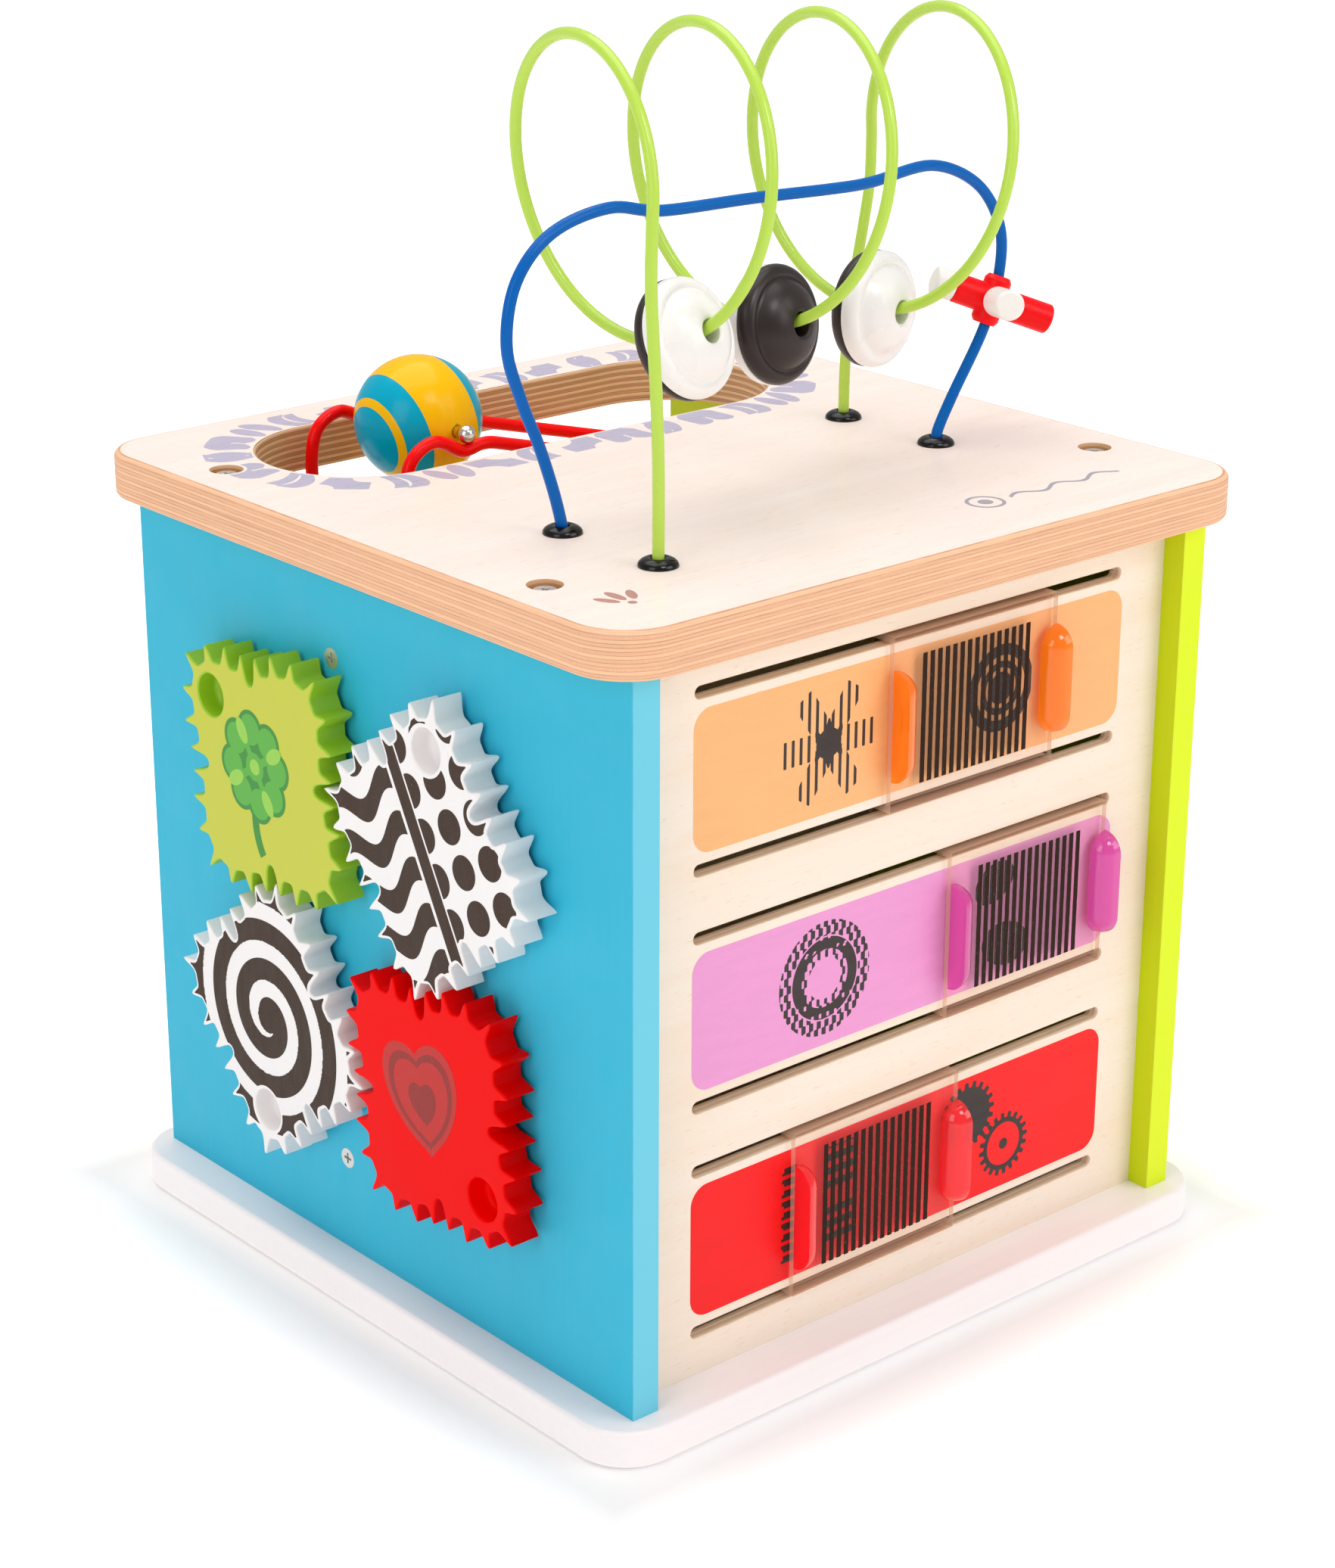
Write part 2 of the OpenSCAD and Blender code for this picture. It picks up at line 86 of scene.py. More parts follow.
BASE_LO, BASE_HI = box("base_board")
TOP_LO, TOP_HI = box("top_board")
TOP = TOP_HI[2]
FRONT_LO, FRONT_HI = box("front_panel")
FACE_Y = FRONT_LO[1]
FACE_X = box("left_panel")[0][0]
SCREW_HEAD_R = 4.2
WIRE_R = 2.2
RAIL_R = 2.6
STRIPE_PITCH = 3.87


# ---------------------------------------------------------------- materials

def lin(colour):
    """a colour given as screen values from 0 to 255, in linear values; a node's output stays as it is"""
    if isinstance(colour, bpy.types.NodeSocket):
        return colour
    v = np.array(colour) / 255
    return (*np.where(v <= 0.04045, v / 12.92, ((v + 0.055) / 1.055) ** 2.4).tolist(), 1.0)


class Mat:
    """A material built from nodes around one Principled shader, in object space."""

    def __init__(self, name, **values):
        self.mat = bpy.data.materials.new(name)
        self.mat.use_nodes = True
        self.tree = self.mat.node_tree
        self.tree.nodes.clear()
        self.out = self.node("ShaderNodeOutputMaterial")
        self.bsdf = self.node("ShaderNodeBsdfPrincipled")
        self.link(self.bsdf.outputs[0], self.out.inputs[0])
        self.co = self.node("ShaderNodeTexCoord").outputs["Object"]
        self.put(**values)

    def node(self, kind, **props):
        n = self.tree.nodes.new(kind)
        for key, value in props.items():
            setattr(n, key, value)
        return n

    def link(self, a, b):
        self.tree.links.new(a, b)

    def feed(self, socket, value):
        if isinstance(value, bpy.types.NodeSocket):
            self.link(value, socket)
        else:
            socket.default_value = value

    def put(self, **values):
        """feeds the shader's inputs, named with _ for each space"""
        for key, value in values.items():
            self.feed(self.bsdf.inputs[key.replace("_", " ")], value)

    def math(self, op, a, b=0.0, clamp=False):
        n = self.node("ShaderNodeMath", operation=op, use_clamp=clamp)
        self.feed(n.inputs[0], a)
        self.feed(n.inputs[1], b)
        return n.outputs[0]

    def add(self, a, b):
        return self.math("ADD", a, b)

    def sub(self, a, b):
        return self.math("SUBTRACT", a, b)

    def mul(self, a, b):
        return self.math("MULTIPLY", a, b)

    def noise(self, s, detail=2.0, rough=0.5, twist=0.0):
        """a noise with s cycles to the metre, the same all round or one value for each axis"""
        at = self.node("ShaderNodeVectorMath", operation="MULTIPLY")
        self.link(self.co, at.inputs[0])
        at.inputs[1].default_value = s if isinstance(s, tuple) else (s, s, s)
        n = self.node("ShaderNodeTexNoise")
        self.link(at.outputs[0], n.inputs["Vector"])
        for key, value in (("Scale", 1.0), ("Detail", detail), ("Roughness", rough), ("Distortion", twist)):
            n.inputs[key].default_value = value
        return n.outputs[0]

    def range(self, value, a, b, lo=0.0, hi=1.0):
        n = self.node("ShaderNodeMapRange", clamp=True)
        for socket, v in zip(n.inputs, (value, a, b, lo, hi)):
            self.feed(socket, v)
        return n.outputs[0]

    def about(self, noise, middle, less, more):
        """a value that swings about its middle with a noise"""
        return self.range(noise, 0.3, 0.7, middle - less, middle + more)

    def mix(self, fac, a, b):
        n = self.node("ShaderNodeMix", data_type="RGBA")
        self.feed(n.inputs[0], fac)
        self.feed(n.inputs[6], lin(a))
        self.feed(n.inputs[7], lin(b))
        return n.outputs[2]

    def shade(self, colour, fac, amount):
        """colour made lighter or darker by up to amount, as fac goes from 0 to 1"""
        n = self.node("ShaderNodeHueSaturation")
        self.feed(n.inputs["Color"], lin(colour))
        self.feed(n.inputs["Value"], self.range(fac, 0, 1, 1 - amount, 1 + amount))
        return n.outputs[0]

    def part(self, vector, k):
        n = self.node("ShaderNodeSeparateXYZ")
        self.link(vector, n.inputs[0])
        return n.outputs[k]

    def normal(self, kind="Normal"):
        return self.node("ShaderNodeNewGeometry").outputs[kind]

    def dot(self, a, b):
        n = self.node("ShaderNodeVectorMath", operation="DOT_PRODUCT")
        self.feed(n.inputs[0], a)
        self.feed(n.inputs[1], b)
        return n.outputs["Value"]

    def bump(self, height, depth, strength):
        n = self.node("ShaderNodeBump")
        n.inputs["Strength"].default_value = strength
        n.inputs["Distance"].default_value = depth
        self.feed(n.inputs["Height"], height)
        self.put(Normal=n.outputs[0])

    def edges(self, radius):
        """1 close to a corner of the mesh, 0 on the flats"""
        b = self.node("ShaderNodeBevel", samples=4)
        b.inputs["Radius"].default_value = radius
        return self.range(self.dot(b.outputs[0], self.normal()), 0.99, 0.80)

    def edge_on(self, power):
        """0 where a surface faces the viewer, 1 where it is seen edge on"""
        edge = self.node("ShaderNodeLayerWeight")
        edge.inputs["Blend"].default_value = 0.5
        return self.math("POWER", edge.outputs["Facing"], power)

    def see_through(self, tint, fac):
        """mixes the shader with a tinted see-through one; fac is how solid it is"""
        see = self.node("ShaderNodeBsdfTransparent")
        self.feed(see.inputs[0], tint)
        mixer = self.node("ShaderNodeMixShader")
        self.feed(mixer.inputs[0], fac)
        self.link(see.outputs[0], mixer.inputs[1])
        self.link(self.bsdf.outputs[0], mixer.inputs[2])
        self.link(mixer.outputs[0], self.out.inputs[0])


def along(axis, long, across):
    return tuple(long if k == axis else across for k in range(3))


def veneer(name, light, mid, fleck, axis, rough=0.42, streak=0.5, coat=0.18, coat_rough=0.28, spec=0.5):
    """sliced wood under lacquer: broad figure, fine fibres and short dark flecks along one axis"""
    m = Mat(name)
    broad = m.noise(along(axis, 5, 90), 3, 0.55, 0.35)
    fine = m.noise(along(axis, 45, 1500), 3, 0.6)
    dash = m.noise(along(axis, 160, 1300), 1, 0.4, 0.2)
    cloud = m.noise(11, 2, 0.5, 0.6)
    c = m.mix(m.mul(m.range(broad, 0.35, 0.68), streak), light, mid)
    c = m.mix(m.range(cloud, 0.5, 0.75, 0, 0.35), c, mid)
    c = m.shade(c, fine, 0.035)
    c = m.mix(m.range(dash, 0.66, 0.74, 0, 0.45), c, fleck)
    m.put(Base_Color=c, Roughness=m.about(fine, rough, 0.06, 0.08), Specular_IOR_Level=spec,
          Coat_Weight=coat, Coat_Roughness=coat_rough)
    m.bump(m.add(fine, m.mul(dash, -0.6)), 0.00004, 0.7)
    return m.mat


def ply(name, light, dark, glue, t, axis=2, level=0.0, lines=0.5):
    """stacked plies seen from the side: long fibres, then end grain, with glue lines"""
    m = Mat(name)
    wave = m.noise(along(axis, 160, 14))
    height = m.add(m.part(m.co, axis), m.mul(m.sub(wave, 0.5), 0.00035))
    step = m.math("DIVIDE", m.sub(height, level), t)
    tint = m.node("ShaderNodeTexWhiteNoise", noise_dimensions="1D")
    m.link(m.math("FLOOR", step), tint.inputs["W"])
    end = m.math("GREATER_THAN", m.math("FRACT", m.mul(step, 0.5)), 0.5)
    fibre = m.noise(along(axis, 1700, 35), 4, 0.65)
    pores = m.noise(along(axis, 500, 1100), 2, 0.6)
    c = m.mix(end, m.shade(light, fibre, 0.16), m.shade(dark, m.mul(m.add(pores, fibre), 0.5), 0.2))
    c = m.shade(c, tint.outputs["Value"], 0.04)
    line = m.range(m.math("ABSOLUTE", m.sub(m.math("FRACT", step), 0.5)), 0.38, 0.47)
    broken = m.range(m.noise(along(axis, 300, 60), 2, 0.6), 0.35, 0.65, 0.25, 1.0)
    c = m.mix(m.mul(m.mul(line, broken), lines), c, glue)
    streak = m.noise(along(axis, 1050, 6), 3, 0.6, 0.15)
    c = m.mix(m.range(streak, 0.57, 0.72, 0, 0.3), c, glue)
    c = m.mix(m.range(streak, 0.44, 0.3, 0, 0.35), c, light)
    m.put(Base_Color=c, Roughness=m.about(pores, 0.55, 0.08, 0.1))
    m.bump(m.sub(m.mul(fibre, 0.6), m.mul(line, 0.8)), 0.00012, 0.8)
    return m.mat


def paint(name, colour, axis, rough, worn, coat=0.06, spec=0.35, front=None):
    """sprayed paint over board: soft grain showing through, orange peel, rubbed edges, and painted light: the
    colour front on faces turned to the front
    """
    m = Mat(name)
    grain = m.noise(along(axis, 14, 420), 4, 0.6, 0.3)
    c = m.shade(m.shade(colour, m.noise(7, 3, 0.55, 0.4), 0.035), grain, 0.03)
    # painted light: faces turned to the front (towards -y) are mixed towards the lighter front colour, as if
    # lit from the front
    if front:
        c = m.mix(m.range(m.dot(m.normal(), (0, -1, 0)), 0.6, 0.95), c, front)
    rub = m.range(m.noise(130, 3, 0.6), 0.42, 0.62, 0.1, 0.75)
    c = m.mix(m.mul(m.edges(0.0011), rub), c, worn)
    m.put(Base_Color=c, Roughness=m.about(m.noise(60, 3, 0.6), rough, 0.06, 0.08), Specular_IOR_Level=spec,
          Coat_Weight=coat, Coat_Roughness=0.2)
    m.bump(m.add(m.mul(grain, 0.5), m.mul(m.noise(900), 0.35)), 0.00006, 0.8)
    return m.mat


def plastic(name, colour, rough=0.3, coat=0.1, spec=0.35):
    """moulded plastic: faint flow marks, fine surface texture and hairline scratches"""
    m = Mat(name)
    flow = m.noise((40, 40, 22), 3, 0.5, 1.2)
    fine = m.noise(1500, 2, 0.6)
    scratch = m.noise((90, 2600, 700), 1, 0.5, 0.3)
    m.put(Base_Color=m.shade(m.shade(colour, flow, 0.03), fine, 0.02),
          Roughness=m.add(m.about(flow, rough, 0.05, 0.06), m.range(scratch, 0.66, 0.76, 0, 0.12)),
          Specular_IOR_Level=spec, Coat_Weight=coat, Coat_Roughness=0.12)
    m.bump(m.add(m.mul(fine, 0.4), m.mul(flow, 1.6)), 0.00003, 0.6)
    return m.mat


def enamel(name, colour, rub, rough, spec, coat):
    """dipped enamel: glossy, slightly wavy, with a few small rubbed marks"""
    m = Mat(name)
    wave = m.noise(160, 2, 0.5, 0.5)
    chip = m.noise(420, 3, 0.7)
    m.put(Base_Color=m.mix(m.range(chip, 0.73, 0.77, 0, 0.3), m.shade(colour, wave, 0.02), rub),
          Roughness=m.range(chip, 0.6, 0.76, rough, rough + 0.15), Specular_IOR_Level=spec,
          Coat_Weight=coat, Coat_Roughness=0.06)
    m.bump(m.add(wave, m.mul(chip, 0.1)), 0.00008, 0.4)
    return m.mat


def ink(name, colour, speck, rough=0.5, axis=2, amount=0.6, size=1300, spec=0.4):
    """printed ink: slightly uneven, with pinholes that show what is below"""
    m = Mat(name)
    mottle = m.noise(along(axis, 60, 260), 3, 0.6)
    hole = m.noise(size, 2, 0.55)
    m.put(Base_Color=m.mix(m.range(hole, 0.66, 0.74, 0, amount), m.shade(colour, mottle, 0.07), speck),
          Roughness=m.about(mottle, rough, 0.07, 0.07), Specular_IOR_Level=spec)
    m.bump(m.add(hole, mottle), 0.00003, 0.6)
    return m.mat


def steel(name, colour, rough, metal=1.0):
    """brushed steel with a few dull spots"""
    m = Mat(name, Metallic=metal)
    brush = m.noise((2200, 300, 2200), 3, 0.6)
    m.put(Base_Color=m.shade(colour, m.noise(700), 0.08), Roughness=m.about(brush, rough, 0.05, 0.1))
    m.bump(brush, 0.00003, 0.5)
    return m.mat


def clear(name, tint, side_tint, cut_colour):
    """thin clear plastic sheet: see-through with a gloss, a faint haze of scratches and tinted cut edges"""
    m = Mat(name)
    scratch = m.noise((60, 900, 1900), 3, 0.6, 0.4)
    cut = m.range(m.math("ABSOLUTE", m.part(m.normal("True Normal"), 1)), 0.35, 0.85, 1, 0)
    m.put(Base_Color=m.shade(m.mix(cut, tint, cut_colour), scratch, 0.05),
          Roughness=m.range(scratch, 0.55, 0.75, 0.05, 0.18), Specular_IOR_Level=0.8)
    m.bump(m.noise(50), 0.0001, 0.35)
    fac = m.add(m.mul(m.edge_on(4.0), 0.6), m.range(scratch, 0.5, 0.8, 0.012, 0.032))
    m.see_through(m.mix(cut, tint, side_tint), m.math("ADD", fac, m.mul(cut, 0.42), clamp=True))
    return m.mat


def jelly(name, colour, deep, tint):
    """tinted see-through plastic: glossy skin, colour that deepens where it is seen edge on, and a faint
    painted glow
    """
    m = Mat(name)
    flow = m.noise((70, 70, 30), 2, 0.4, 0.6)
    side = m.edge_on(1.6)
    c = m.mix(side, colour, deep)
    # the emission is a painted glow in the plastic's own colour; the grips are no lamp
    m.put(Base_Color=m.shade(c, flow, 0.05), Roughness=m.about(flow, 0.1, 0.04, 0.02), Specular_IOR_Level=0.6,
          Coat_Weight=0.8, Coat_Roughness=0.02, Emission_Color=c, Emission_Strength=0.16)
    m.bump(flow, 0.0001, 0.2)
    thin_part = m.shade(m.mix(side, tint, colour), flow, 0.04)
    m.see_through(thin_part, m.math("ADD", m.mul(side, 0.3), 0.55, clamp=True))
    return m.mat


M = {}


def finishes(maker, **table):
    """one material for each name, from the maker's values"""
    for name, values in table.items():
        M[name] = maker(name, *values)


finishes(
    veneer,
    top_veneer=((252, 237, 229), (247, 226, 214), (230, 204, 188), 0, 0.42, 0.5, 0.15, 0.12, 0.3),
    front_veneer=((252, 236, 220), (249, 224, 200), (232, 200, 168), 0, 0.46, 0.6),
    inner_veneer=((252, 228, 192), (244, 212, 168), (214, 176, 130), 2, 0.55, 0.8))
finishes(
    ply,
    top_ply_edge=((248, 196, 156), (242, 185, 145), (172, 108, 76), 0.00138, 2, 0.3, 0.65),
    # a darker copy of the top board's ply edge, painted shade for the walls of the opening and of the screw
    # bores
    top_ply_cut=((232, 190, 144), (196, 146, 102), (118, 74, 44), 0.00138, 2, 0.3, 0.8),
    slot_ply_edge=((255, 234, 208), (244, 212, 182), (190, 150, 120), 0.0014, 1, -0.14))
finishes(
    paint,
    white_paint=((252, 245, 245), 0, 0.34, (226, 212, 196)),
    # the last colour of the blue and green paint is painted light for their faces turned to the front
    blue_paint=((50, 186, 218), 2, 0.46, (120, 206, 228), 0.0, 0.25, (112, 208, 232)),
    green_paint=((200, 220, 0), 2, 0.42, (216, 230, 90), 0.06, 0.2, (226, 246, 20)))
finishes(
    ink,
    orange_panel_paint=((253, 186, 122), (250, 206, 160), 0.42, 0, 0.3, 700),
    pink_panel_paint=((240, 156, 212), (244, 186, 222), 0.42, 0, 0.3, 700),
    red_panel_paint=((252, 26, 28), (252, 60, 56), 0.42, 0, 0.25, 700, 0.2),
    black_ink=((50, 38, 36), (110, 84, 70), 0.5, 0, 0.4),
    stripe_ink=((48, 30, 20), (120, 90, 70), 0.6, 2, 0.6, 900, 0.1),
    brown_ink=((62, 42, 30), (140, 110, 90), 0.5, 2, 0.6, 1300, 0.25),
    lavender_ink=((190, 182, 204), (216, 208, 218), 0.3, 0, 0.3),
    grey_ink=((166, 160, 172), (214, 204, 206), 0.5, 0, 0.5),
    rust_ink=((190, 138, 126), (226, 204, 196), 0.5, 0, 0.5),
    icon_dark_green=((46, 140, 40), (110, 190, 60), 0.36, 2, 0.3),
    icon_mid_green=((84, 176, 52), (150, 210, 90), 0.36, 2, 0.3),
    icon_light_green=((150, 208, 70), (190, 226, 120), 0.36, 2, 0.3),
    icon_dark_red=((196, 18, 8), (230, 40, 24), 0.24, 2, 0.3, 1300, 0.3),
    icon_deep_red=((150, 20, 10), (196, 36, 22), 0.24, 2, 0.3, 1300, 0.3))
finishes(
    plastic,
    gear_green=((160, 203, 40), 0.34),
    gear_green_face=((202, 206, 66), 0.4, 0.05, 0.25),
    gear_white=((246, 242, 241), 0.3),
    gear_red=((246, 0, 0), 0.36, 0.0, 0.06),
    cap_black=((6, 3, 3), 0.2, 0.1, 0.3),
    bead_white=((249, 245, 243), 0.28, 0.12, 0.4),
    bead_black=((42, 30, 29), 0.36, 0.05, 0.35),
    spinner_red=((250, 4, 14), 0.36, 0.04, 0.18),
    spinner_white=((250, 245, 241), 0.36, 0.1))
finishes(
    enamel,
    wire_green=((190, 224, 84), (206, 232, 130), 0.24, 0.3, 0.15),
    wire_blue=((0, 98, 184), (30, 130, 200), 0.3, 0.12, 0.06),
    rail_red=((255, 0, 0), (250, 40, 30), 0.28, 0.12, 0.08),
    ball_yellow=((255, 192, 0), (255, 200, 30), 0.24, 0.12, 0.08),
    ball_teal=((0, 168, 200), (20, 180, 206), 0.24, 0.12, 0.08))
finishes(steel, screw_zinc=((216, 216, 212), 0.32, 0.8), pin_steel=((218, 212, 208), 0.14))
finishes(clear, window_clear=((255, 252, 250), (250, 234, 220), (234, 202, 178)))
finishes(
    jelly,
    grip_orange=((255, 144, 4), (250, 108, 0), (255, 214, 140)),
    grip_magenta=((230, 92, 184), (196, 44, 136), (248, 190, 228)),
    grip_red=((255, 48, 56), (232, 14, 24), (255, 160, 155)))


# ---------------------------------------------------------------- mesh helpers

def make(name, verts, faces, mats, body, index=None, angle=38, weighted=False, slot=None, stands=()):
    """one mesh piece; verts are in mm, in the CAD's frame"""
    mesh = bpy.data.meshes.new(name)
    mesh.from_pydata([tuple(v) for v in np.asarray(verts, float) * MM], [], faces)
    for m in mats:
        mesh.materials.append(M[m])
    if index is not None:
        mesh.polygons.foreach_set("material_index", index)
    bm = bmesh.new()
    bm.from_mesh(mesh)
    bmesh.ops.remove_doubles(bm, verts=bm.verts, dist=1e-7)
    bmesh.ops.recalc_face_normals(bm, faces=bm.faces)
    bm.to_mesh(mesh)
    bm.free()
    mesh.shade_smooth()
    mesh.set_sharp_from_angle(angle=math.radians(angle))
    ob = bpy.data.objects.new(name, mesh)
    bpy.context.scene.collection.objects.link(ob)
    if weighted:
        ob.modifiers.new("normals", "WEIGHTED_NORMAL").keep_sharp = True
    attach(ob, body)
    if stands:
        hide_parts(*stands)
    return ob


def outward(pts):
    """unit normals of a closed counter-clockwise outline"""
    d = np.roll(pts, -1, 0) - np.roll(pts, 1, 0)
    n = np.stack([d[:, 1], -d[:, 0]], 1)
    return n / np.maximum(np.linalg.norm(n, axis=1, keepdims=True), 1e-9)


def round_rect(w, h, r, n, cx=0.0, cy=0.0):
    out = []
    for k, (sx, sy) in enumerate([(1, -1), (1, 1), (-1, 1), (-1, -1)]):
        for a in np.linspace(90 * k - 90, 90 * k, n + 1):
            out.append((cx + sx * (w / 2 - r) + r * cosd(a), cy + sy * (h / 2 - r) + r * sind(a)))
    return np.array(out)


def circle(cx, cy, r, n=48):
    a = np.linspace(0, 2 * math.pi, n, endpoint=False)
    return np.stack([cx + r * np.cos(a), cy + r * np.sin(a)], 1)


def round_in(r, face, n=4):
    """(offset, height) steps of a quarter round, from a face down to the wall below it"""
    return [(r * (1 - sind(a)), face - abs(r) * (1 - cosd(a))) for a in np.linspace(0, 90, n + 1)]


def round_out(r, face, n=4):
    """(offset, height) steps of a quarter round, from a wall down to the face below it"""
    return [(r * (1 - cosd(a)), face + abs(r) * (1 - sind(a))) for a in np.linspace(0, 90, n + 1)]


def strip(a, b):
    """the faces between two closed rows of vertices"""
    n = len(a)
    return [(a[k], a[(k + 1) % n], b[(k + 1) % n], b[k]) for k in range(n)]


def solid(name, outline, profile, place, body, mats, holes=(), parts=(0, 1, 1), normals=None, **more):
    """A plate from an outline: profile is (offset, height) from its front to its back. holes are
    (outline, profile, through, material index). parts gives the materials of front, wall and back."""
    verts, faces, index = [], [], []

    def ring(pts, nrm, off, h):
        start = len(verts)
        for p, q in zip(pts, nrm):
            verts.append((p[0] + q[0] * off, p[1] + q[1] * off, h))
        return list(range(start, len(verts)))

    def wall(rings, mat):
        for a, b in zip(rings, rings[1:]):
            faces.extend(strip(a, b))
            index.extend([mat] * len(a))

    def cap(loops, mat):
        flat = [i for loop in loops for i in loop]
        for t in tessellate_polygon([[Vector(verts[i]) for i in loop] for loop in loops]):
            tri = tuple(flat[i] for i in t)
            if len(set(tri)) == 3:
                faces.append(tri)
                index.append(mat)

    nrm = outward(outline) if normals is None else normals
    outer = [ring(outline, nrm, off, h) for off, h in profile]
    wall(outer, parts[1])
    front, back = [outer[0]], [outer[-1]]
    for pts, steps, through, mat in holes:
        rings = [ring(pts, outward(pts), off, h) for off, h in steps]
        wall(rings, mat)
        front.append(rings[0])
        if through:
            back.append(rings[-1])
        else:
            cap([rings[-1]], mat)
    cap(front, parts[0])
    cap(back, parts[2])
    make(name, place(np.array(verts)), faces, mats, body, index, weighted=True, **more)


def lathe(name, profile, origin, axis, body, mats, n=96, closed=False, index=None, **more):
    """profile is (radius, distance along the axis); closed joins its last point to its first"""
    z = np.array(axis, float) / np.linalg.norm(axis)
    x = np.cross(z, (0.0, 0.0, 1.0) if abs(z[2]) < 0.9 else (1.0, 0.0, 0.0))
    x /= np.linalg.norm(x)
    y = np.cross(z, x)
    verts, rows = [], []
    for r, h in profile:
        if r < 1e-6:
            rows.append([len(verts)] * n)
            verts.append(origin + z * h)
        else:
            rows.append(list(range(len(verts), len(verts) + n)))
            verts += [origin + z * h + r * (cosd(a) * x + sind(a) * y) for a in 360 * np.arange(n) / n]
    faces, ids = [], []
    pairs = list(zip(rows, rows[1:])) + ([(rows[-1], rows[0])] if closed else [])
    for j, (a, b) in enumerate(pairs):
        for face in strip(a, b):
            face = tuple(dict.fromkeys(face))
            if len(face) > 2:
                faces.append(face)
                ids.append(index[j] if index else 0)
    return make(name, verts, faces, mats, body, ids, **more)


def smooth_path(c, m):
    """the same curve through points as the CAD uses, with m steps to each span"""
    c = np.array(c, float)
    out = []
    for i in range(len(c) - 1):
        b, e = c[i], c[i + 1]
        a = 2 * c[0] - c[1] if i == 0 else c[i - 1]
        f = 2 * e - b if i == len(c) - 2 else c[i + 2]
        for j in range(m):
            t = j / m
            out.append(0.5 * (2 * b + t * (e - a) + t * t * (2 * a - 5 * b + 4 * e - f)
                              + t ** 3 * (3 * b - a - 3 * e + f)))
    out.append(c[-1])
    return np.array(out)


def tube(path, r, n):
    """vertices and faces of a round bar along a path, with flat ends"""
    path = np.array(path, float)
    t = np.gradient(path, axis=0)
    t /= np.linalg.norm(t, axis=1, keepdims=True)
    u = np.cross(t[0], (0.0, 1.0, 0.0))
    if np.linalg.norm(u) < 0.1:
        u = np.cross(t[0], (1.0, 0.0, 0.0))
    verts, rows = [], []
    for i, (p, d) in enumerate(zip(path, t)):
        u = u - (u @ d) * d
        u /= np.linalg.norm(u)
        v = np.cross(d, u)
        rows.append(list(range(len(verts), len(verts) + n)))
        verts += [p + r * (cosd(a) * u + sind(a) * v) for a in 360 * np.arange(n) / n]
    sides = [face for a, b in zip(rows, rows[1:]) for face in strip(a, b)]
    return verts, sides + [tuple(rows[0]), tuple(rows[-1])]


def bars(node, paths, r, finish, n=20):
    """round bars along paths, as one piece that stands for the node"""
    verts, faces = [], []
    for path in paths:
        v, f = tube(path, r, n)
        faces += [tuple(k + len(verts) for k in face) for face in f]
        verts += v
    make(node + "_piece", verts, faces, [finish], "frame", slot=finish, stands=(node,))


def refine(node, finish, width, segments=2, angle=30, slot=None):
    """the CAD node's own shape with its edges softened, as a new piece that stands for it"""
    src = frame["nodes"][node]
    mesh = src.data.copy()
    mesh.materials.clear()
    bm = bmesh.new()
    bm.from_mesh(mesh)
    bmesh.ops.remove_doubles(bm, verts=bm.verts, dist=2e-6)
    bmesh.ops.dissolve_limit(bm, angle_limit=math.radians(0.5), verts=bm.verts, edges=bm.edges)
    verts = [tuple(v.co / MM) for v in bm.verts]
    bm.verts.index_update()
    faces = [[v.index for v in f.verts] for f in bm.faces]
    bm.free()
    ob = make(node + "_piece", verts, faces, [finish], src["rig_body"], slot=slot or finish, stands=(node,))
    b = ob.modifiers.new("soft edges", "BEVEL")
    b.width = width * MM
    b.segments = segments
    b.limit_method = "ANGLE"
    b.angle_limit = math.radians(angle)
    b.harden_normals = True
    return ob


# ---------------------------------------------------------------- printed shapes
# Each shape is a function of x and y that is positive inside.

def disc(x, y, cx, cy, r):
    return r - np.hypot(x - cx, y - cy)


def ring(x, y, cx, cy, r, w):
    return w / 2 - np.abs(np.hypot(x - cx, y - cy) - r)


def local(x, y, cx, cy, deg):
    """a point as seen from cx, cy, with the first axis turned by deg"""
    c, s = cosd(deg), sind(deg)
    return (x - cx) * c + (y - cy) * s, -(x - cx) * s + (y - cy) * c


def bar(x, y, cx, cy, length, width, deg):
    u, v = local(x, y, cx, cy, deg)
    return np.minimum(length / 2 - np.abs(u), width / 2 - np.abs(v))


def oval(x, y, cx, cy, a, b, deg=0):
    u, v = local(x, y, cx, cy, deg)
    return min(a, b) * (1 - np.hypot(u / a, v / b))


def slices(x, pitch, width, phase):
    return width / 2 - np.abs((x - phase + pitch / 2) % pitch - pitch / 2)


def stripes(x, width, phase):
    """the upright stripes that the hidden drawings are cut into"""
    return slices(x, STRIPE_PITCH, width, phase)


def arc(x, y, cx, cy, r, w, a0, a1):
    """part of a ring from a0 to a1 degrees, counter-clockwise"""
    t = np.degrees(np.arctan2(y - cy, x - cx))
    mid, half = (a0 + a1) / 2, (a1 - a0) / 2
    off = np.abs((t - mid + 180) % 360 - 180)
    return np.minimum(ring(x, y, cx, cy, r, w), np.radians(half - off) * r)


def either(*fs):
    return functools.reduce(np.maximum, fs)


def both(*fs):
    return functools.reduce(np.minimum, fs)


# For each mix of inside and outside corners of a grid cell, the sides that the outline enters and leaves by
SEGMENTS = {1: [(0, 3)], 2: [(1, 0)], 3: [(1, 3)], 4: [(2, 1)], 5: [(0, 3), (2, 1)], 6: [(2, 0)],
            7: [(2, 3)], 8: [(3, 2)], 9: [(0, 2)], 10: [(1, 0), (3, 2)], 11: [(1, 2)], 12: [(3, 1)],
            13: [(0, 1)], 14: [(3, 0)]}


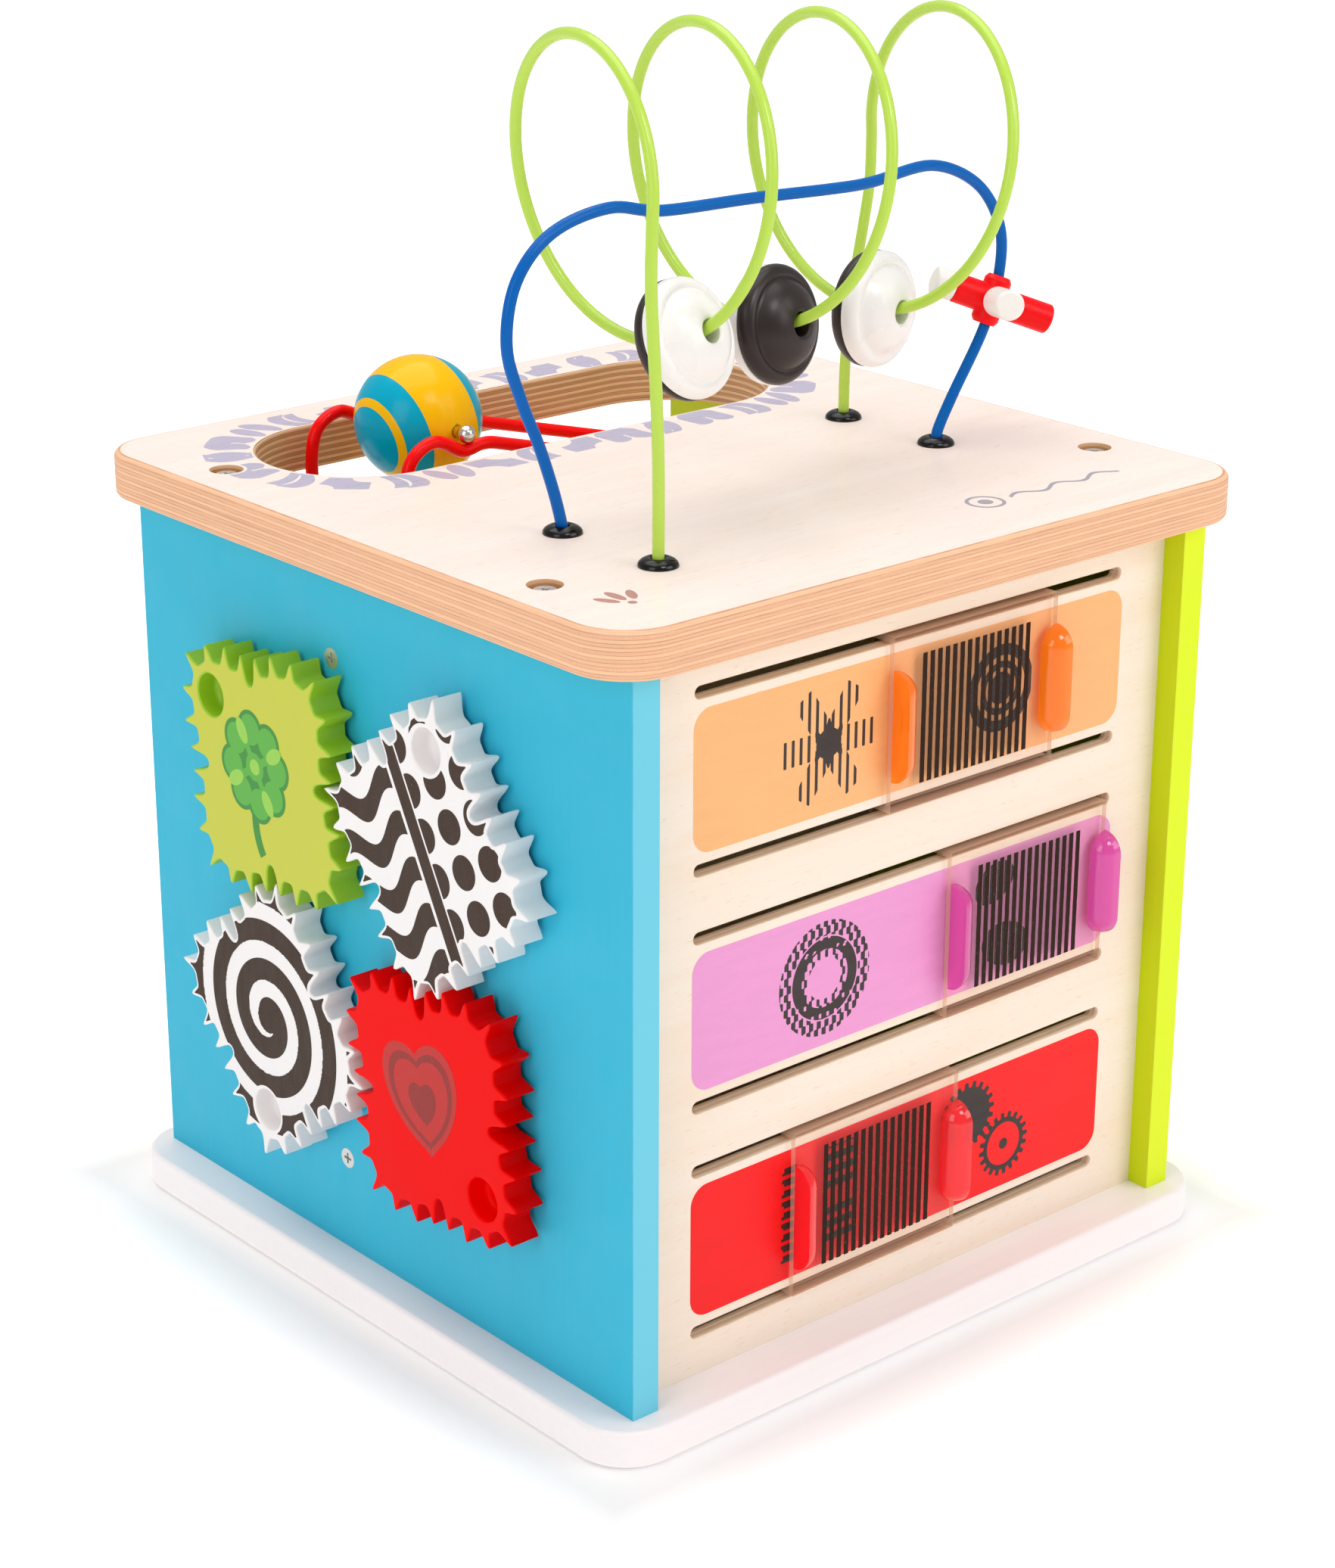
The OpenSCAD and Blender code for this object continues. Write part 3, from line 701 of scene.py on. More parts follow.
def contours(fn, area, step):
    """closed outlines of the places where fn is positive, inside on the left"""
    x0, y0, x1, y1 = area
    xs = np.arange(x0, x1 + step, step)
    ys = np.arange(y0, y1 + step, step)
    gx, gy = np.meshgrid(xs, ys)
    f = fn(gx, gy).astype(float)
    f[np.abs(f) < 1e-5] = -1e-5
    f[0, :] = f[-1, :] = f[:, 0] = f[:, -1] = -step
    s = f > 0
    code = s[:-1, :-1] * 1 + s[:-1, 1:] * 2 + s[1:, 1:] * 4 + s[1:, :-1] * 8
    follow, where = {}, {}

    def cross(j, i, e):
        key = [(0, j, i), (1, j, i + 1), (0, j + 1, i), (1, j, i)][e]
        if key not in where:
            kind, a, b = key
            c, d = (a, b + 1) if kind == 0 else (a + 1, b)
            t = f[a, b] / (f[a, b] - f[c, d])
            where[key] = (xs[b] + t * (xs[d] - xs[b]), ys[a] + t * (ys[c] - ys[a]))
        return key

    for j, i in zip(*np.nonzero((code > 0) & (code < 15))):
        for a, b in SEGMENTS[int(code[j, i])]:
            follow[cross(j, i, a)] = cross(j, i, b)
    loops = []
    while follow:
        start = next(iter(follow))
        loop, k = [], start
        while k in follow:
            loop.append(where[k])
            k = follow.pop(k)
        pts = thin(np.array(loop), 0.03)
        if len(pts) > 3 and abs(area_of(pts)) > 0.5:
            loops.append(pts)
    return loops


def area_of(p):
    q = np.roll(p, -1, 0)
    return 0.5 * float(np.sum(p[:, 0] * q[:, 1] - q[:, 0] * p[:, 1]))


def thin(p, tol):
    """drops points that lie on the line between their neighbours"""
    keep = [0]
    i = 0
    n = len(p)
    while i < n - 1:
        j = i + 2
        while j < n and j - i < 60:
            d = p[j] - p[i]
            length = np.hypot(*d)
            if length < 1e-9:
                break
            mid = p[i + 1:j] - p[i]
            if np.max(np.abs(mid[:, 0] * d[1] - mid[:, 1] * d[0])) / length > tol:
                break
            j += 1
        i = j - 1
        keep.append(i)
    out = p[sorted(set(keep))]
    if len(out) > 1 and np.hypot(*(out[0] - out[-1])) < 1e-4:
        out = out[:-1]
    return out


def inside_loop(pt, loop):
    x, y = pt
    q = np.roll(loop, -1, 0)
    hit = (loop[:, 1] > y) != (q[:, 1] > y)
    xs = loop[:, 0] + (y - loop[:, 1]) * (q[:, 0] - loop[:, 0]) / np.where(hit, q[:, 1] - loop[:, 1], 1)
    return bool(np.sum(hit & (xs > x)) % 2)


def layer(name, loops, place, h0, h1, mat, body):
    """a thin closed layer of ink or paint over the loops, from height h0 to h1"""
    outer = [p for p in loops if area_of(p) > 0]
    inner = [p for p in loops if area_of(p) <= 0]
    verts, faces = [], []
    for o in outer:
        group = [o] + [p for p in inner if inside_loop(p[0], o)]
        ids = []
        for p in group:
            ids.append((len(verts), len(p)))
            verts += [(a, b, h1) for a, b in p] + [(a, b, h0) for a, b in p]
        flat_top = [s + k for s, n in ids for k in range(n)]
        flat_low = [s + n + k for s, n in ids for k in range(n)]
        for t in tessellate_polygon([[Vector((a, b, 0)) for a, b in p] for p in group]):
            if len(set(t)) == 3:
                faces.append(tuple(flat_top[k] for k in t))
                faces.append(tuple(flat_low[k] for k in reversed(t)))
        for s, n in ids:
            for k in range(n):
                faces.append((s + k, s + (k + 1) % n, s + n + (k + 1) % n, s + n + k))
    make(name, place(np.array(verts)), faces, [mat], body, angle=30)


def on_front(p):
    return np.stack([p[:, 0], FACE_Y - p[:, 2], p[:, 1]], 1)


def on_top(p):
    return p


# ---------------------------------------------------------------- boards

def screw_places():
    lo, hi = box("board_screws")
    x, y = (hi - lo)[:2] / 2 - SCREW_HEAD_R
    return [(sx * x, sy * y) for sx in (-1, 1) for sy in (-1, 1)]


def bore(x, y, face, back, depth=4.0, r=6.25, shank=2.05):
    """a counterbored screw hole right through a board"""
    steps = [(0.35, face), (0.1, face - 0.08), (0, face - 0.35), (0, face - depth), (shank - r, face - depth),
             (shank - r, back)]
    return circle(x, y, r), steps, True, 3


def board(node, corner, soft, place, mats, slot, openings=()):
    """a square board with round corners, soft edges and its four screw bores"""
    lo, hi = box(node)
    width, n = hi[0] - lo[0], 16
    turn = np.concatenate([np.linspace(90 * k - 90, 90 * k, n + 1) for k in range(4)])
    holes = [*openings, *(bore(x, y, hi[2], lo[2]) for x, y in screw_places())]
    solid(node + "_piece", round_rect(width, width, corner, n),
          round_in(-soft, hi[2], 6) + round_out(-soft, lo[2], 6), place, "frame", mats, holes,
          parts=(0, 1, 2), normals=np.stack([cosd(turn), sind(turn)], 1), slot=slot, stands=(node,))


def apart(pts):
    """an outline without its doubled points"""
    return np.array([p for i, p in enumerate(pts) if np.hypot(*(p - pts[i - 1])) > 1e-6])


# top board with the opening for the ball and the holes for the wires
CUT_X, CUT_Y, CUT_L, CUT_W, CUT_SOFT = -1.0, 89.0, 242.0, 82.0, 0.9
T0, T1 = TOP_LO[2], TOP_HI[2]
FOOT_X, COIL_Y0, ARCH_Y, COIL_Y1, FOOT_DEPTH = 95.0, -105.0, -52.5, 0.0, 14
wire_feet = [(-FOOT_X, COIL_Y0), (FOOT_X, COIL_Y1), (-FOOT_X, ARCH_Y), (FOOT_X, ARCH_Y)]
opening = apart(round_rect(CUT_L, CUT_W, CUT_W / 2, 32, CUT_X, CUT_Y))
openings = [(opening, round_in(CUT_SOFT, T1) + round_out(CUT_SOFT, T0), True, 3)]
foot_steps = [(0.2, T1), (0, T1 - 0.2), (0, T1 - FOOT_DEPTH)]
feet = [(circle(x, y, WIRE_R + 0.05, 24), foot_steps, False, 1) for x, y in wire_feet]
board("top_board", 24, 2.5, on_top,
      ["top_veneer", "top_ply_edge", "inner_veneer", "top_ply_cut"], "top_ply",
      openings + feet)


def under(p):
    return np.stack([p[:, 0], -p[:, 1], BASE_LO[2] + BASE_HI[2] - p[:, 2]], 1)


board("base_board", 22, 2.0, under, ["white_paint"] * 3 + ["inner_veneer"], "white_paint")

# front panel with its six slots, seen from the front: x to the right, z up, depth behind the face
SLOT_L, SLOT_W, SLOT_OFF = 217, 4.8, 33.1
width, thick, height = FRONT_HI - FRONT_LO
mid_x, mid_z = centre("front_panel")[[0, 2]]
row_z = [centre(f"window_{k}")[2] for k in (1, 2, 3)]
slot_steps = [(0.3, 0), (0.08, -0.08), (0, -0.3), (0, 0.3 - thick), (0.3, -thick)]
slots = [(apart(round_rect(SLOT_L, SLOT_W, SLOT_W / 2, 8, 0.0, z + s * SLOT_OFF)), slot_steps, True, 1)
         for z in row_z for s in (-1, 1)]
solid("front_panel_piece", round_rect(width, height, 0.3, 1, mid_x, mid_z), [(0, 0), (0, -thick)], on_front,
      "frame", ["front_veneer", "slot_ply_edge", "inner_veneer"], slots, parts=(0, 1, 2), slot="front_wood",
      stands=("front_panel",))

refine("left_panel", "blue_paint", 0.7, 3)
refine("right_panel", "green_paint", 0.7, 3)
refine("cross_board", "inner_veneer", 0.4, slot="plain_wood")
refine("board_screws", "screw_zinc", 0.12, 1, 25, slot="screw_steel")
refine("panel_screws", "screw_zinc", 0.12, 1, 25, slot="screw_steel")


# ---------------------------------------------------------------- paint and prints on the front

PAINT_T, PRINT_T = 0.08, 0.04
for z, colour, finish in zip(row_z, ("orange", "violet", "red"),
                             ("orange_panel_paint", "pink_panel_paint", "red_panel_paint")):
    layer("painted_panel_" + colour, [round_rect(219, 54, 8, 10, 0.5, z)], on_front, 0.0, PAINT_T, finish,
          "frame")


def rosette(cx, cy):
    def shape(x, y):
        petals = [bar(x, y, cx + 15.5 * k, cy, 16, 10.2, 0) for k in (-1, 1)]
        for a in (57, 123, 237, 303):
            px, py = cx + 13.6 * cosd(a), cy + 13.6 * sind(a)
            petals.append(both(bar(x, y, px, py, 19.5, 9.6, a), oval(x, y, px, py, 12.5, 6.4, a)))
        spikes = [oval(x, y, cx + 4.9 * k, cy + 2.6 * j, 1.3, 3.6, -24 * k * j)
                  for k in (-1, 1) for j in (-1, 1)]
        return either(both(either(*petals), stripes(x, 1.4, cx + 1.9)), oval(x, y, cx, cy, 6.2, 5.8),
                      oval(x, y, cx, cy, 1.6, 9.6), *spikes)
    return shape


def target(cx, cy, r):
    def shape(x, y):
        rings = either(ring(x, y, cx, cy, r, 4.4), ring(x, y, cx, cy, r * 0.62, 2.6))
        return either(both(rings, stripes(x, 2.1, cx)), disc(x, y, cx, cy, r * 0.42))
    return shape


def woven_ring(cx, cy):
    def shape(x, y):
        d = np.hypot(x - cx, y - cy)
        row = np.floor((y - cy + 60) / 3.1) % 2
        cuts = stripes(x, 2.1, cx + row * 1.35)
        holes = both(stripes(x, 1.3, cx + 1.9 + row * 0.6), slices(y, 5.2, 1.9, cy + 0.8),
                     np.abs(y - cy) - 8.5, d - 12.4)
        return either(both(22.8 - d, d - 16.9, cuts), both(16.3 - d, d - 11.6, -holes),
                      both(11.9 - d, d - 8.3, stripes(x, 1.5, cx + 0.7 + row * 1.2)))
    return shape


def cog(cx, cy, r, count, core):
    def shape(x, y):
        a = np.arctan2(y - cy, x - cx)
        d = np.hypot(x - cx, y - cy)
        edge = r + 1.2 * np.sign(np.sin(count * a)) * np.minimum(1, np.abs(np.sin(count * a)) * 4)
        return either(both(edge - d, d - core), disc(x, y, cx, cy, 2.3))
    return shape


def brick_column(cx, cy, h):
    def shape(x, y):
        k = np.floor((y - cy + 60) / 4.6) % 2
        return both(bar(x, y, cx, cy, 7.5, h, 0), slices(y, 4.6, 3.0, cy),
                    3.2 - np.abs(x - cx - 1.1 * (k - 0.5)))
    return shape


def pebbles(cx, cy):
    def shape(x, y):
        stones = either(oval(x, y, cx, cy + 14, 11, 8, 20), oval(x, y, cx + 7, cy - 13, 13, 9, -15))
        return both(stones, stripes(x, 2.2, 1.0))
    return shape


def cog_behind(cx, cy, lowest):
    whole = cog(cx, cy, 13.5, 20, 0.0)
    return lambda x, y: both(whole(x, y), y - lowest)


def blocks(cx, cy):
    def shape(x, y):
        pair = either(bar(x, y, cx, cy + 12, 15.5, 19, 0), bar(x, y, cx, cy - 11, 15.5, 16, 0))
        return both(pair, stripes(x, 1.9, cx - 9), slices(y, 5.6, 3.1, cy))
    return shape


z1, z2, z3 = row_z
for name, shape, area in (
        ("rosette", rosette(-44.5, z1), (-72, z1 - 26, -16, z1 + 26)),
        ("target", target(44, z1 + 1, 15), (22, z1 - 22, 66, z1 + 24)),
        ("woven_ring", woven_ring(-44, z2), (-70, z2 - 26, -18, z2 + 26)),
        ("pebbles", pebbles(45, z2), (28, z2 - 26, 70, z2 + 26)),
        ("cog_small", cog(56, z3 - 8.5, 12.4, 20, 9.2), (38, z3 - 26, 74, z3 + 8)),
        ("cog_large", cog_behind(35, z3 + 10, z3 - 3), (16, z3 - 8, 52, z3 + 26)),
        ("bricks", brick_column(-60, z3, 40), (-68, z3 - 24, -52, z3 + 24)),
        ("blocks", blocks(-34.4, z3), (-46, z3 - 22, -22, z3 + 24))):
    layer("print_" + name, contours(shape, area, 0.32), on_front, PAINT_T, PAINT_T + PRINT_T, "black_ink",
          "frame")


# ---------------------------------------------------------------- prints on the top

GARLAND_OUT, GARLAND_COUNT = 11, 30


def along_opening(x, y):
    """how far round the opening a point is, and how far out from its edge"""
    half, r = (CUT_L - CUT_W) / 2, CUT_W / 2
    px, py = x - CUT_X, y - CUT_Y
    over = np.maximum(np.abs(px) - half, 0)
    turn = np.arctan2(py, over) + math.pi / 2
    flat = np.clip(px, -half, half)
    near = np.where(py < 0, 1, -1)
    s = np.where(px > 0, half + (r + GARLAND_OUT) * turn - near * (half - flat),
                 -half - (r + GARLAND_OUT) * turn + near * (half + flat))
    return s, np.hypot(over, py) - r


def garland(x, y):
    """forks, arches, crescents and leaves set close together round the opening"""
    rng = np.random.default_rng(23)
    s, out = along_opening(x, y)
    pitch = (2 * (CUT_L - CUT_W) + 2 * math.pi * (CUT_W / 2 + GARLAND_OUT)) / GARLAND_COUNT
    v = out - GARLAND_OUT
    f = np.full_like(x, -9.0)
    for k in range(GARLAND_COUNT):
        place = s - (k + 0.5 - GARLAND_COUNT / 2) * pitch
        u = (place * (1 if rng.integers(0, 2) else -1)) + v * float(rng.uniform(-0.22, 0.22))
        w = v * (1 if rng.integers(0, 2) else -1)
        kind = (k * 7 + int(rng.integers(0, 2))) % 5
        if kind == 0:
            g = both(either(oval(u, w, -4.4, -1, 6.6, 10, 16), oval(u, w, 4.6, -1, 6.4, 9.6, -18)),
                     -bar(u, w, 0.2, 7.5, 1.3, 15, 0))
        elif kind == 1:
            g = either(both(disc(u, w, -10, 0, 17), disc(u, w, 3.4, 0, 12.5), -disc(u, w, 9.5, 0, 12)),
                       both(disc(u, w, 16, 0, 17), -disc(u, w, 21, 0, 17), bar(u, w, 0, 0, 19, 17, 0)))
        elif kind == 2:
            g = either(both(disc(u, w, -6, 0, 14), disc(u, w, 8, 0, 14), -bar(u, w, 1, 0, 1.2, 16, 0)),
                       both(disc(u, w, 13.5, 0, 14), -disc(u, w, 21, 0, 17.5)))
        elif kind == 3:
            g = either(oval(u, w, -4.6, 0, 4.1, 9.4, 14), oval(u, w, 5, 0.6, 3.9, 8.6, -10))
        else:
            g = both(bar(u, w, 0, 0, 19, 15.5, 0), -oval(u, w, 9.5, 8, 8.5, 6.5),
                     -oval(u, w, -9, -8.5, 7, 6.5))
        f = np.maximum(f, both(g, pitch / 2 - 0.9 - np.abs(place - v * 0.1)))
    near_screw = np.min([np.hypot(x - a, y - b) for a, b in screw_places()], axis=0)
    return both(f, out - 1.8, 20.6 - out, near_screw - 7.9)


def wave_mark(x, y):
    wave = y - (-124 + 2.3 * np.sin((x - 84) / 3.4))
    line = both(0.8 - np.abs(wave) / 1.2, 29 - np.abs(x - 91))
    return either(line, ring(x, y, 50, -123, 7.0, 1.5), disc(x, y, 50, -123, 3.0))


def sprig_mark(x, y):
    return either(oval(x, y, -134.5, -124, 5.0, 1.9, 118), oval(x, y, -129, -122, 5.6, 2.0, 90),
                  oval(x, y, -123.5, -124, 5.0, 1.9, 62), disc(x, y, -129, -131, 1.7))


for shape, area, step, thick, finish in ((garland, (-146, 24, 144, 154), 0.5, 0.05, "lavender_ink"),
                                         (wave_mark, (38, -134, 124, -112), 0.25, 0.04, "grey_ink"),
                                         (sprig_mark, (-142, -136, -116, -114), 0.25, 0.04, "rust_ink")):
    layer("print_" + shape.__name__, contours(shape, area, step), on_top, T1, T1 + thick, finish, "frame")


# ---------------------------------------------------------------- wires, rails, caps

COIL_LEFT, COIL_RIGHT, COIL_Y, COIL_Z = -98.0, 107.0, 52.5, 55.7
COIL_MID, COIL_DROP, COIL_END = 120.6, 8.0, 1260.0


def coil_point(a):
    """the coil's middle line at a degrees of turn; the first loop starts at the front left foot"""
    s = a / COIL_END
    x = COIL_LEFT + (COIL_RIGHT - COIL_LEFT) * s - 6 * math.sin(math.pi * s) + (6.6 * s - 2.8) * sind(a)
    return np.array([x, ARCH_Y - COIL_Y * cosd(a), TOP + COIL_MID - COIL_DROP * s * s + COIL_Z * sind(a)])


def coil_leg(h, foot, head, y, height, m):
    """a leg's middle line at height h, leaning out smoothly; m is its slope where it meets the coil"""
    t = max(h, 0.0) / height
    lean = (0.664 + m) * t ** 2 + (2.672 - 3 * m) * t ** 3 + (2 * m - 2.336) * t ** 4
    return [foot + (head - foot) * lean, y, TOP + h]


coil = [coil_leg(h, -FOOT_X, COIL_LEFT, COIL_Y0, COIL_MID, -4) for h in (-13.6, 0, 20, 40, 60, 80, 100)]
coil += [coil_point(a) for a in np.arange(0, COIL_END + 1, 10)]
coil += [coil_leg(h, FOOT_X, COIL_RIGHT, COIL_Y1, COIL_MID - COIL_DROP, -1.06)
         for h in (95, 80, 60, 40, 20, 0, -13.6)]
ARCH = [(-95, -13.8), (-95, -3), (-95.2, 2), (-99, 16), (-105.5, 34), (-113, 51), (-119.5, 72), (-115, 94),
        (-99, 109), (-73, 114.6), (-48, 110.5), (-4, 109.5), (36, 108), (56, 108), (88, 110.5), (113, 100.5),
        (126.5, 83), (127.5, 64), (120, 43), (104, 19), (96.6, 7), (95.1, 2), (95, -3), (95, -13.8)]
RAIL = [(-140.8, -47), (-122, -47), (-102, -47), (-90, -44.4), (-83.6, -37), (-82, -25), (-82, -12),
        (-80, -1.4), (-74.5, 4.1), (-68, 6), (-62.5, 4.5), (-58, 1.9), (-54.2, 0.2), (-50.3, 0.42),
        (-46.9, 1.23), (-43.5, 1.5), (-40.6, 1.31), (-37.8, 0.74), (-30, -1.36), (20, -14.7), (80, -30.5),
        (140.5, -46.5)]
rail_lo, rail_hi = box("ball_rails")
bars("coil_wire", [smooth_path(coil, 3)], WIRE_R, "wire_green")
bars("arch_wire", [[(x, ARCH_Y, TOP + z) for x, z in smooth_path(ARCH, 8)]], WIRE_R, "wire_blue")
bars("ball_rails", [[(x, y, TOP + z) for x, z in smooth_path(RAIL, 6)]
                    for y in (rail_lo[1] + RAIL_R, rail_hi[1] - RAIL_R)], RAIL_R, "rail_red", 24)

CAP = [(2.6, 0.0), (7.4, 0.0), (7.4, 0.45), (7.25, 1.0), (6.85, 1.65), (6.1, 2.3), (5.2, 2.78), (4.3, 3.08),
       (3.6, 3.2), (3.0, 3.08), (2.6, 2.7)]
for k, (x, y) in enumerate(wire_feet):
    lathe(f"wire_cap_{k + 1}", CAP, np.array([x, y, TOP]), (0, 0, 1), "frame", ["cap_black"], 64, True,
          slot="cap_black", stands=("wire_caps",) if k == 0 else ())


# ---------------------------------------------------------------- ball and its pin

ball_at = centre("ball")
BAND_AXIS = (-0.973, 0.0, -0.23)
BALL_R, PIN_R, PIN_BORE_R = 25.5, 2.5, 2.62
bands = [(0, 33, 1), (33, 41, 0), (41, 65, 1), (65, 119, 0), (119, 140, 1), (140, 148, 0), (148, 180, 1)]
profile, ids = [], []
for a0, a1, mat in bands:
    count = max(3, int((a1 - a0) / 2.5))
    for i in range(count):
        a = a0 + (a1 - a0) * i / count
        profile.append((BALL_R * sind(a), BALL_R * cosd(a)))
        ids.append(mat)
profile.append((0.0, -BALL_R))
ball = lathe("ball_piece", profile, ball_at, BAND_AXIS, "ball", ["ball_yellow", "ball_teal"], 128, index=ids,
             slot="ball_paint", stands=("ball",))
drill = lathe("drill", [(0.0, -30), (PIN_BORE_R, -30), (PIN_BORE_R, 30), (0.0, 30)], ball_at, (0, 1, 0),
              "ball", ["pin_steel"], 48)
cutter = ball.modifiers.new("pin hole", "BOOLEAN")
cutter.operation = "DIFFERENCE"
cutter.solver = "EXACT"
cutter.object = drill
bpy.context.view_layer.update()
done = bpy.data.meshes.new_from_object(ball.evaluated_get(bpy.context.evaluated_depsgraph_get()))
ball.modifiers.clear()
ball.data = done
bpy.data.objects.remove(drill)

pin_lo, pin_hi = box("ball_pin")
KNOB = (pin_hi[2] - pin_lo[2]) / 2
half = (pin_hi[1] - pin_lo[1]) / 2 - KNOB
PIN = []
for s in (-1, 1):
    arcs = np.linspace(0, 180 - math.degrees(math.asin(PIN_R / KNOB)) - 7, 22)
    part = [(KNOB * sind(a), s * (half + KNOB * cosd(a))) for a in arcs]
    part += [(PIN_R, s * (half - KNOB + 0.4))]
    PIN += part if s < 0 else part[::-1]
lathe("ball_pin_piece", PIN, centre("ball_pin"), (0, 1, 0), "ball_pin", ["pin_steel"], 64, slot="pin_chrome",
      stands=("ball_pin",))


# ---------------------------------------------------------------- beads and spinner

BEAD = [(4.5, 0.15), (21.9, 0.15), (22.15, 0.5), (22.25, 1.4), (22.1, 2.6), (21.7, 3.7), (21.05, 4.7),
        (20.2, 5.5), (19.3, 5.95), (18.5, 6.0), (17.95, 5.75), (17.6, 5.6), (17.25, 5.7), (16.7, 6.35),
        (15.9, 7.5), (14.7, 9.0), (13.2, 10.4), (11.4, 11.6), (9.4, 12.5), (7.4, 13.15), (6.1, 13.42),
        (5.4, 13.45), (4.9, 13.25), (4.5, 12.8)]
for k, a in ((1, 291), (2, 639), (3, 992)):
    t = coil_point(a + 0.5) - coil_point(a - 0.5)
    for side, s in (("front", 1), ("back", -1)):
        node = f"bead_{k}_{side}"
        finish = "bead_white" if (k != 2) == (side == "front") else "bead_black"
        lathe(node + "_piece", [(r, s * h) for r, h in BEAD], coil_point(a), t, f"bead_{k}", [finish], 128,
              True, slot=finish, stands=(node,))

refine("spinner_red", "spinner_red", 0.9, 3, 32)
refine("spinner_white", "spinner_white", 0.5, 3, 32)


# ---------------------------------------------------------------- gears

TEETH, PITCH, GEAR_T, GEAR_GAP, INK_T = 28, 102.4, 13.0, 2.0, 0.05
FINGER_AT, FINGER_R = 40, 8.5


def gear_outline(n=TEETH * 16):
    a = np.arange(n) * 360.0 / n
    r = PITCH / 2 - 2.05 + 5.75 * cosd(4 * a) - 0.17 * cosd(12 * a)
    d = -23 * sind(4 * a) + 2.04 * sind(12 * a)
    wave = 2 * ((1 + cosd(TEETH * a)) / 2) ** 3.5 - 1
    corner = (a + 45) % 90 - 45
    side = a % 90 - 45
    tooth = 3.26 * (1 - 0.13 * cosd(4 * a) - 0.2 * cosd(8 * a)) * wave
    tooth += 4 * np.exp(-(corner / 4) ** 2) * np.maximum(wave, 0)
    tooth -= 5.1 * np.exp(-(side / 4.75) ** 2) * np.maximum(-wave, 0)
    tx, ty = d * cosd(a) - r * sind(a), d * sind(a) + r * cosd(a)
    length = np.hypot(tx, ty)
    return np.stack([r * cosd(a) + tooth * ty / length, r * sind(a) - tooth * tx / length], 1)


def turned(p, deg):
    c, s = cosd(deg), sind(deg)
    return np.stack([p[:, 0] * c - p[:, 1] * s, p[:, 0] * s + p[:, 1] * c], 1)


def inset(p, off):
    """moves an outline inward, less at narrow tips"""
    n = outward(p)
    e = np.roll(p, -1, 0) - p
    length = (np.hypot(*e.T) + np.hypot(*np.roll(e, 1, 0).T)) / 2
    n2 = np.roll(n, -1, 0)
    bend = (n[:, 0] * n2[:, 1] - n[:, 1] * n2[:, 0]) / np.maximum(length, 1e-6)
    room = np.where(bend > 1e-3, 0.8 / np.maximum(bend, 1e-3), 99)
    return p - n * np.minimum(off, room)[:, None]


def edge_distance(x, y, loop):
    """signed distance to a closed outline, positive inside"""
    best = np.full(x.shape, 1e9)
    odd = np.zeros(x.shape, bool)
    q = np.roll(loop, -1, 0)
    for (ax, ay), (bx, by) in zip(loop, q):
        ex, ey = bx - ax, by - ay
        t = np.clip(((x - ax) * ex + (y - ay) * ey) / (ex * ex + ey * ey + 1e-12), 0, 1)
        best = np.minimum(best, (x - ax - t * ex) ** 2 + (y - ay - t * ey) ** 2)
        if ay != by:
            odd ^= ((ay > y) != (by > y)) & (x < ax + (y - ay) * ex / (by - ay))
    return np.where(odd, 1, -1) * np.sqrt(best)


GEARS = {1: (52.0, 142.0, "gear_green_face", "gear_green"), 2: (83.0, 86.0, "gear_white", "gear_white"),
         3: (83.0, 264.0, "gear_white", "gear_white"), 4: (52.0, 321.5, "gear_red", "gear_red")}
BASE = gear_outline()


def gear_place(k):
    """gear drawing seen from outside: u to the viewer's right, v up, w out of the panel"""
    _, cy, cz = centre(f"gear_{k}_screw")
    return lambda p: np.stack([FACE_X - GEAR_GAP - p[:, 2], cy - p[:, 0], cz + p[:, 1]], 1)


HUB = [(2.1, -14.5), (7.6, -14.5), (8.0, -14.1), (8.0, -2.0), (11.4, -1.9), (12.0, -1.3), (12.0, 0.2),
       (2.1, 0.2)]
gear_steps = round_in(-0.7, GEAR_T) + [(0, 0.3), (-0.3, 0.0)]
dish = round_in(0.8, GEAR_T) + [(0, 6.4)]
dish += [(-2.4 * (1 - cosd(a)), 6.4 - 2.4 * sind(a)) for a in np.linspace(17.19, 90, 5)]
for k, (turn, finger, face_mat, side_mat) in GEARS.items():
    place = gear_place(k)
    out = turned(BASE, turn)
    hole = circle(FINGER_AT * cosd(finger), FINGER_AT * sind(finger), FINGER_R, 64)
    solid(f"gear_{k}_piece", out, gear_steps, place, f"gear_{k}", [face_mat, side_mat],
          [(hole, dish, False, 1)], normals=out - inset(out, 1.0), slot=side_mat, stands=(f"gear_{k}",))
    lathe(f"gear_{k}_hub", HUB, place(np.zeros((1, 3)))[0], (-1, 0, 0), f"gear_{k}", [side_mat], 64, True)
    refine(f"gear_{k}_screw", "screw_zinc", 0.15, 2, 28, slot="screw_steel")


def on_gear(k, fn, margin=1.3):
    """the part of a drawing that lies on a gear's face, clear of its edge and its finger hole"""
    turn, finger = GEARS[k][:2]
    out = turned(BASE, turn)

    def shape(x, y):
        hole = disc(x, y, FINGER_AT * cosd(finger), FINGER_AT * sind(finger), FINGER_R + 1.7)
        return both(fn(x, y), edge_distance(x, y, out) - margin, -hole)
    return shape


def gear_print(name, k, fn, mat, low=0.0, high=INK_T, half=66, step=0.45):
    """a print on gear k, from low to high above its face, drawn within half to each side of its centre"""
    layer("print_" + name, contours(fn, (-half, -half, half, half), step), gear_place(k), GEAR_T + low,
          GEAR_T + high, mat, f"gear_{k}")


